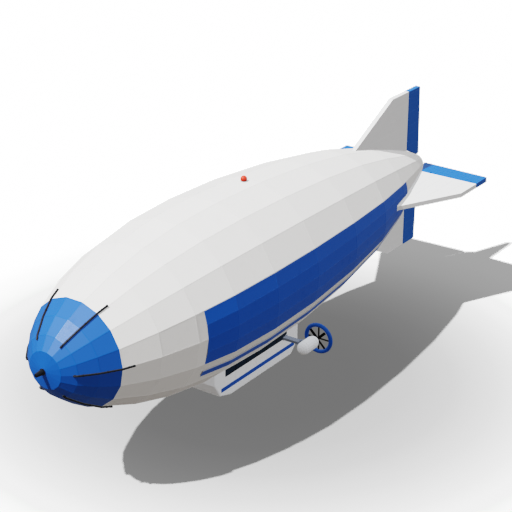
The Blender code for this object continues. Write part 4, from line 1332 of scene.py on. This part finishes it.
flat_r = NACELLE_R * math.cos(math.pi / NACELLE_SIDES)
lip = (STRUT_END - 0.010, STRUT_END + 0.0043, POD_X - NACELLE_R + 0.03)
length = DUCT_R - DUCT_TUBE - 0.004 - FAIRING_START
for side, sign in SIDES:
    out = RIGHT * sign
    root = Vector((0, POD_Y, POD_Z))
    pod = "pod_" + side
    sleeve = bmesh.new()
    hoop(sleeve, root, out, UP, (STRUT_R + 0.002, BOSS_R + 0.004), lip[:2])
    hoop(sleeve, root, out, UP, (BOSS_R + 0.0003, BOSS_R + 0.004), lip[1:])
    piece("pod_sleeve_" + side, sleeve, STRUT_TRIM, pod)

    bands = bmesh.new()
    for y in BANDS_Y:
        centre = shaft_point(sign, y)
        radii = (NACELLE_R - 0.003, NACELLE_R + 0.004)
        hoop(bands, centre, AFT, RIGHT, radii, (-BAND_HALF, BAND_HALF), NACELLE_SIDES)
        for turn in LATCHES_AT:
            way = around(90 - turn * sign)
            plate(bands, centre + way * (flat_r + 0.003), way, AFT, (0.060, 0.030, 0.006), 0.002)
    piece("nacelle_bands_" + side, bands, BAND_GREY, pod)

    middle = shaft_point(sign, DUCT_Y)
    fairings = bmesh.new()
    pads = bmesh.new()
    for turn in (0, 90, 180, 270):
        way = around(turn)
        across = way.cross(AFT)
        foot = middle + way * (FAIRING_START + length / 2) + AFT * 0.010 - across * 0.030
        plate(fairings, foot, across, way, (length, 0.070, 0.060), 0.022)
        way = around(turn + 45)
        radii = (DUCT_TUBE - 0.001, DUCT_TUBE + 0.003)
        hoop(pads, middle + way * DUCT_R, way.cross(AFT), way, radii, (-PAD_HALF, PAD_HALF), 20)
    piece("stator_fairings_" + side, fairings, FAIRING_BLACK, pod)
    piece("duct_joint_bands_" + side, pads, DUCT_BAND, pod)
tell("pod trim", 8)

# %% [markdown]
# ## Propellers
# Three blades show in the picture, all about as wide, so they are flat paddles with
# little pitch, and they almost reach the duct. CAD's blades are pitched more and look
# thin on one side, so these stand for them. A blade is a bar with rounded edges, cut
# into short lengths, then thinned and twisted from root to tip.

# %% Blade shape
BLADE_SPAN = (0.050, 0.575)
BLADE_CHORD = 0.128
BLADE_THICK = 0.034
# Pitch in degrees at the root and at the tip, and the share of its thickness that the tip keeps
BLADE_PITCH = (20.0, 6.0)
TIP_SHARE = 0.45


def lengthways(bm):
    return [edge for edge in bm.edges if abs(edge.verts[0].co.z - edge.verts[1].co.z) > 0.1]


def blade_shape(hand):
    """One twisted blade that points up from the shaft, as a mesh to copy."""
    bm = bmesh.new()
    low, high = BLADE_SPAN
    size = Matrix.Diagonal((BLADE_CHORD, BLADE_THICK, high - low, 1))
    bmesh.ops.create_cube(bm, size=1.0, matrix=Matrix.Translation((0, 0, (low + high) / 2)) @ size)
    soften(bm, lengthways(bm), BLADE_THICK * 0.48, 3)
    bmesh.ops.subdivide_edges(bm, edges=lengthways(bm), cuts=9, use_grid_fill=True)
    for vert in bm.verts:
        share = (vert.co.z - low) / (high - low)
        pitch = BLADE_PITCH[0] + (BLADE_PITCH[1] - BLADE_PITCH[0]) * share
        vert.co.y *= 1 - (1 - TIP_SHARE) * share
        vert.co = Matrix.Rotation(math.radians(pitch) * hand, 3, "Z") @ vert.co
    shape = bpy.data.meshes.new("blade_shape")
    bm.to_mesh(shape)
    bm.free()
    return shape


print("blades:", round(BLADE_SPAN[1] - BLADE_SPAN[0], 3), "m long")

# %% [markdown]
# Four copies of the blade stand round a hub, a drum with a domed back. Hoops round
# the hub and a cuff at the root of each blade hide the joints. The two propellers are
# mirror images, so the blades of each twist the other way.

# %% Propellers
PROP_Y = 2.555
HUB_Y = (2.437, 2.613)
HUB_R = 0.080
DOME = 0.02
BLADES_AT = (45, 135, 225, 315)
for side, sign in SIDES:
    body = "propeller_" + side
    rotor = bmesh.new()
    hub = shaft_point(sign, PROP_Y)
    shape = blade_shape(sign)
    for turn in BLADES_AT:
        before = len(rotor.verts)
        rotor.from_mesh(shape)
        rotor.verts.ensure_lookup_table()
        place = Matrix.Translation(hub) @ Matrix.Rotation(math.radians(turn), 4, "Y")
        bmesh.ops.transform(rotor, matrix=place, verts=rotor.verts[before:])
    bpy.data.meshes.remove(shape)
    front, back = HUB_Y[0], HUB_Y[1] - DOME
    drum(rotor, shaft_point(sign, front), AFT, HUB_R, back - front, 24)
    stud(rotor, shaft_point(sign, back), AFT, HUB_R, DOME, 24)
    item = piece("propeller_rotor_" + side, rotor, FINISHES["blade_black"], body)
    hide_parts(body)

    cuffs = bmesh.new()
    for y in (HUB_Y[0] + 0.012, HUB_Y[1] - 0.050):
        hoop(cuffs, shaft_point(sign, y), AFT, UP, (HUB_R - 0.001, HUB_R + 0.004), (0.0, 0.020), 24)
    for turn in BLADES_AT:
        hoop(cuffs, hub, around(turn), AFT, (0.012, 0.050), (0.076, 0.096), 20)
    piece("propeller_cuffs_" + side, cuffs, FAIRING_BLACK, body)
tell("propellers", 4)
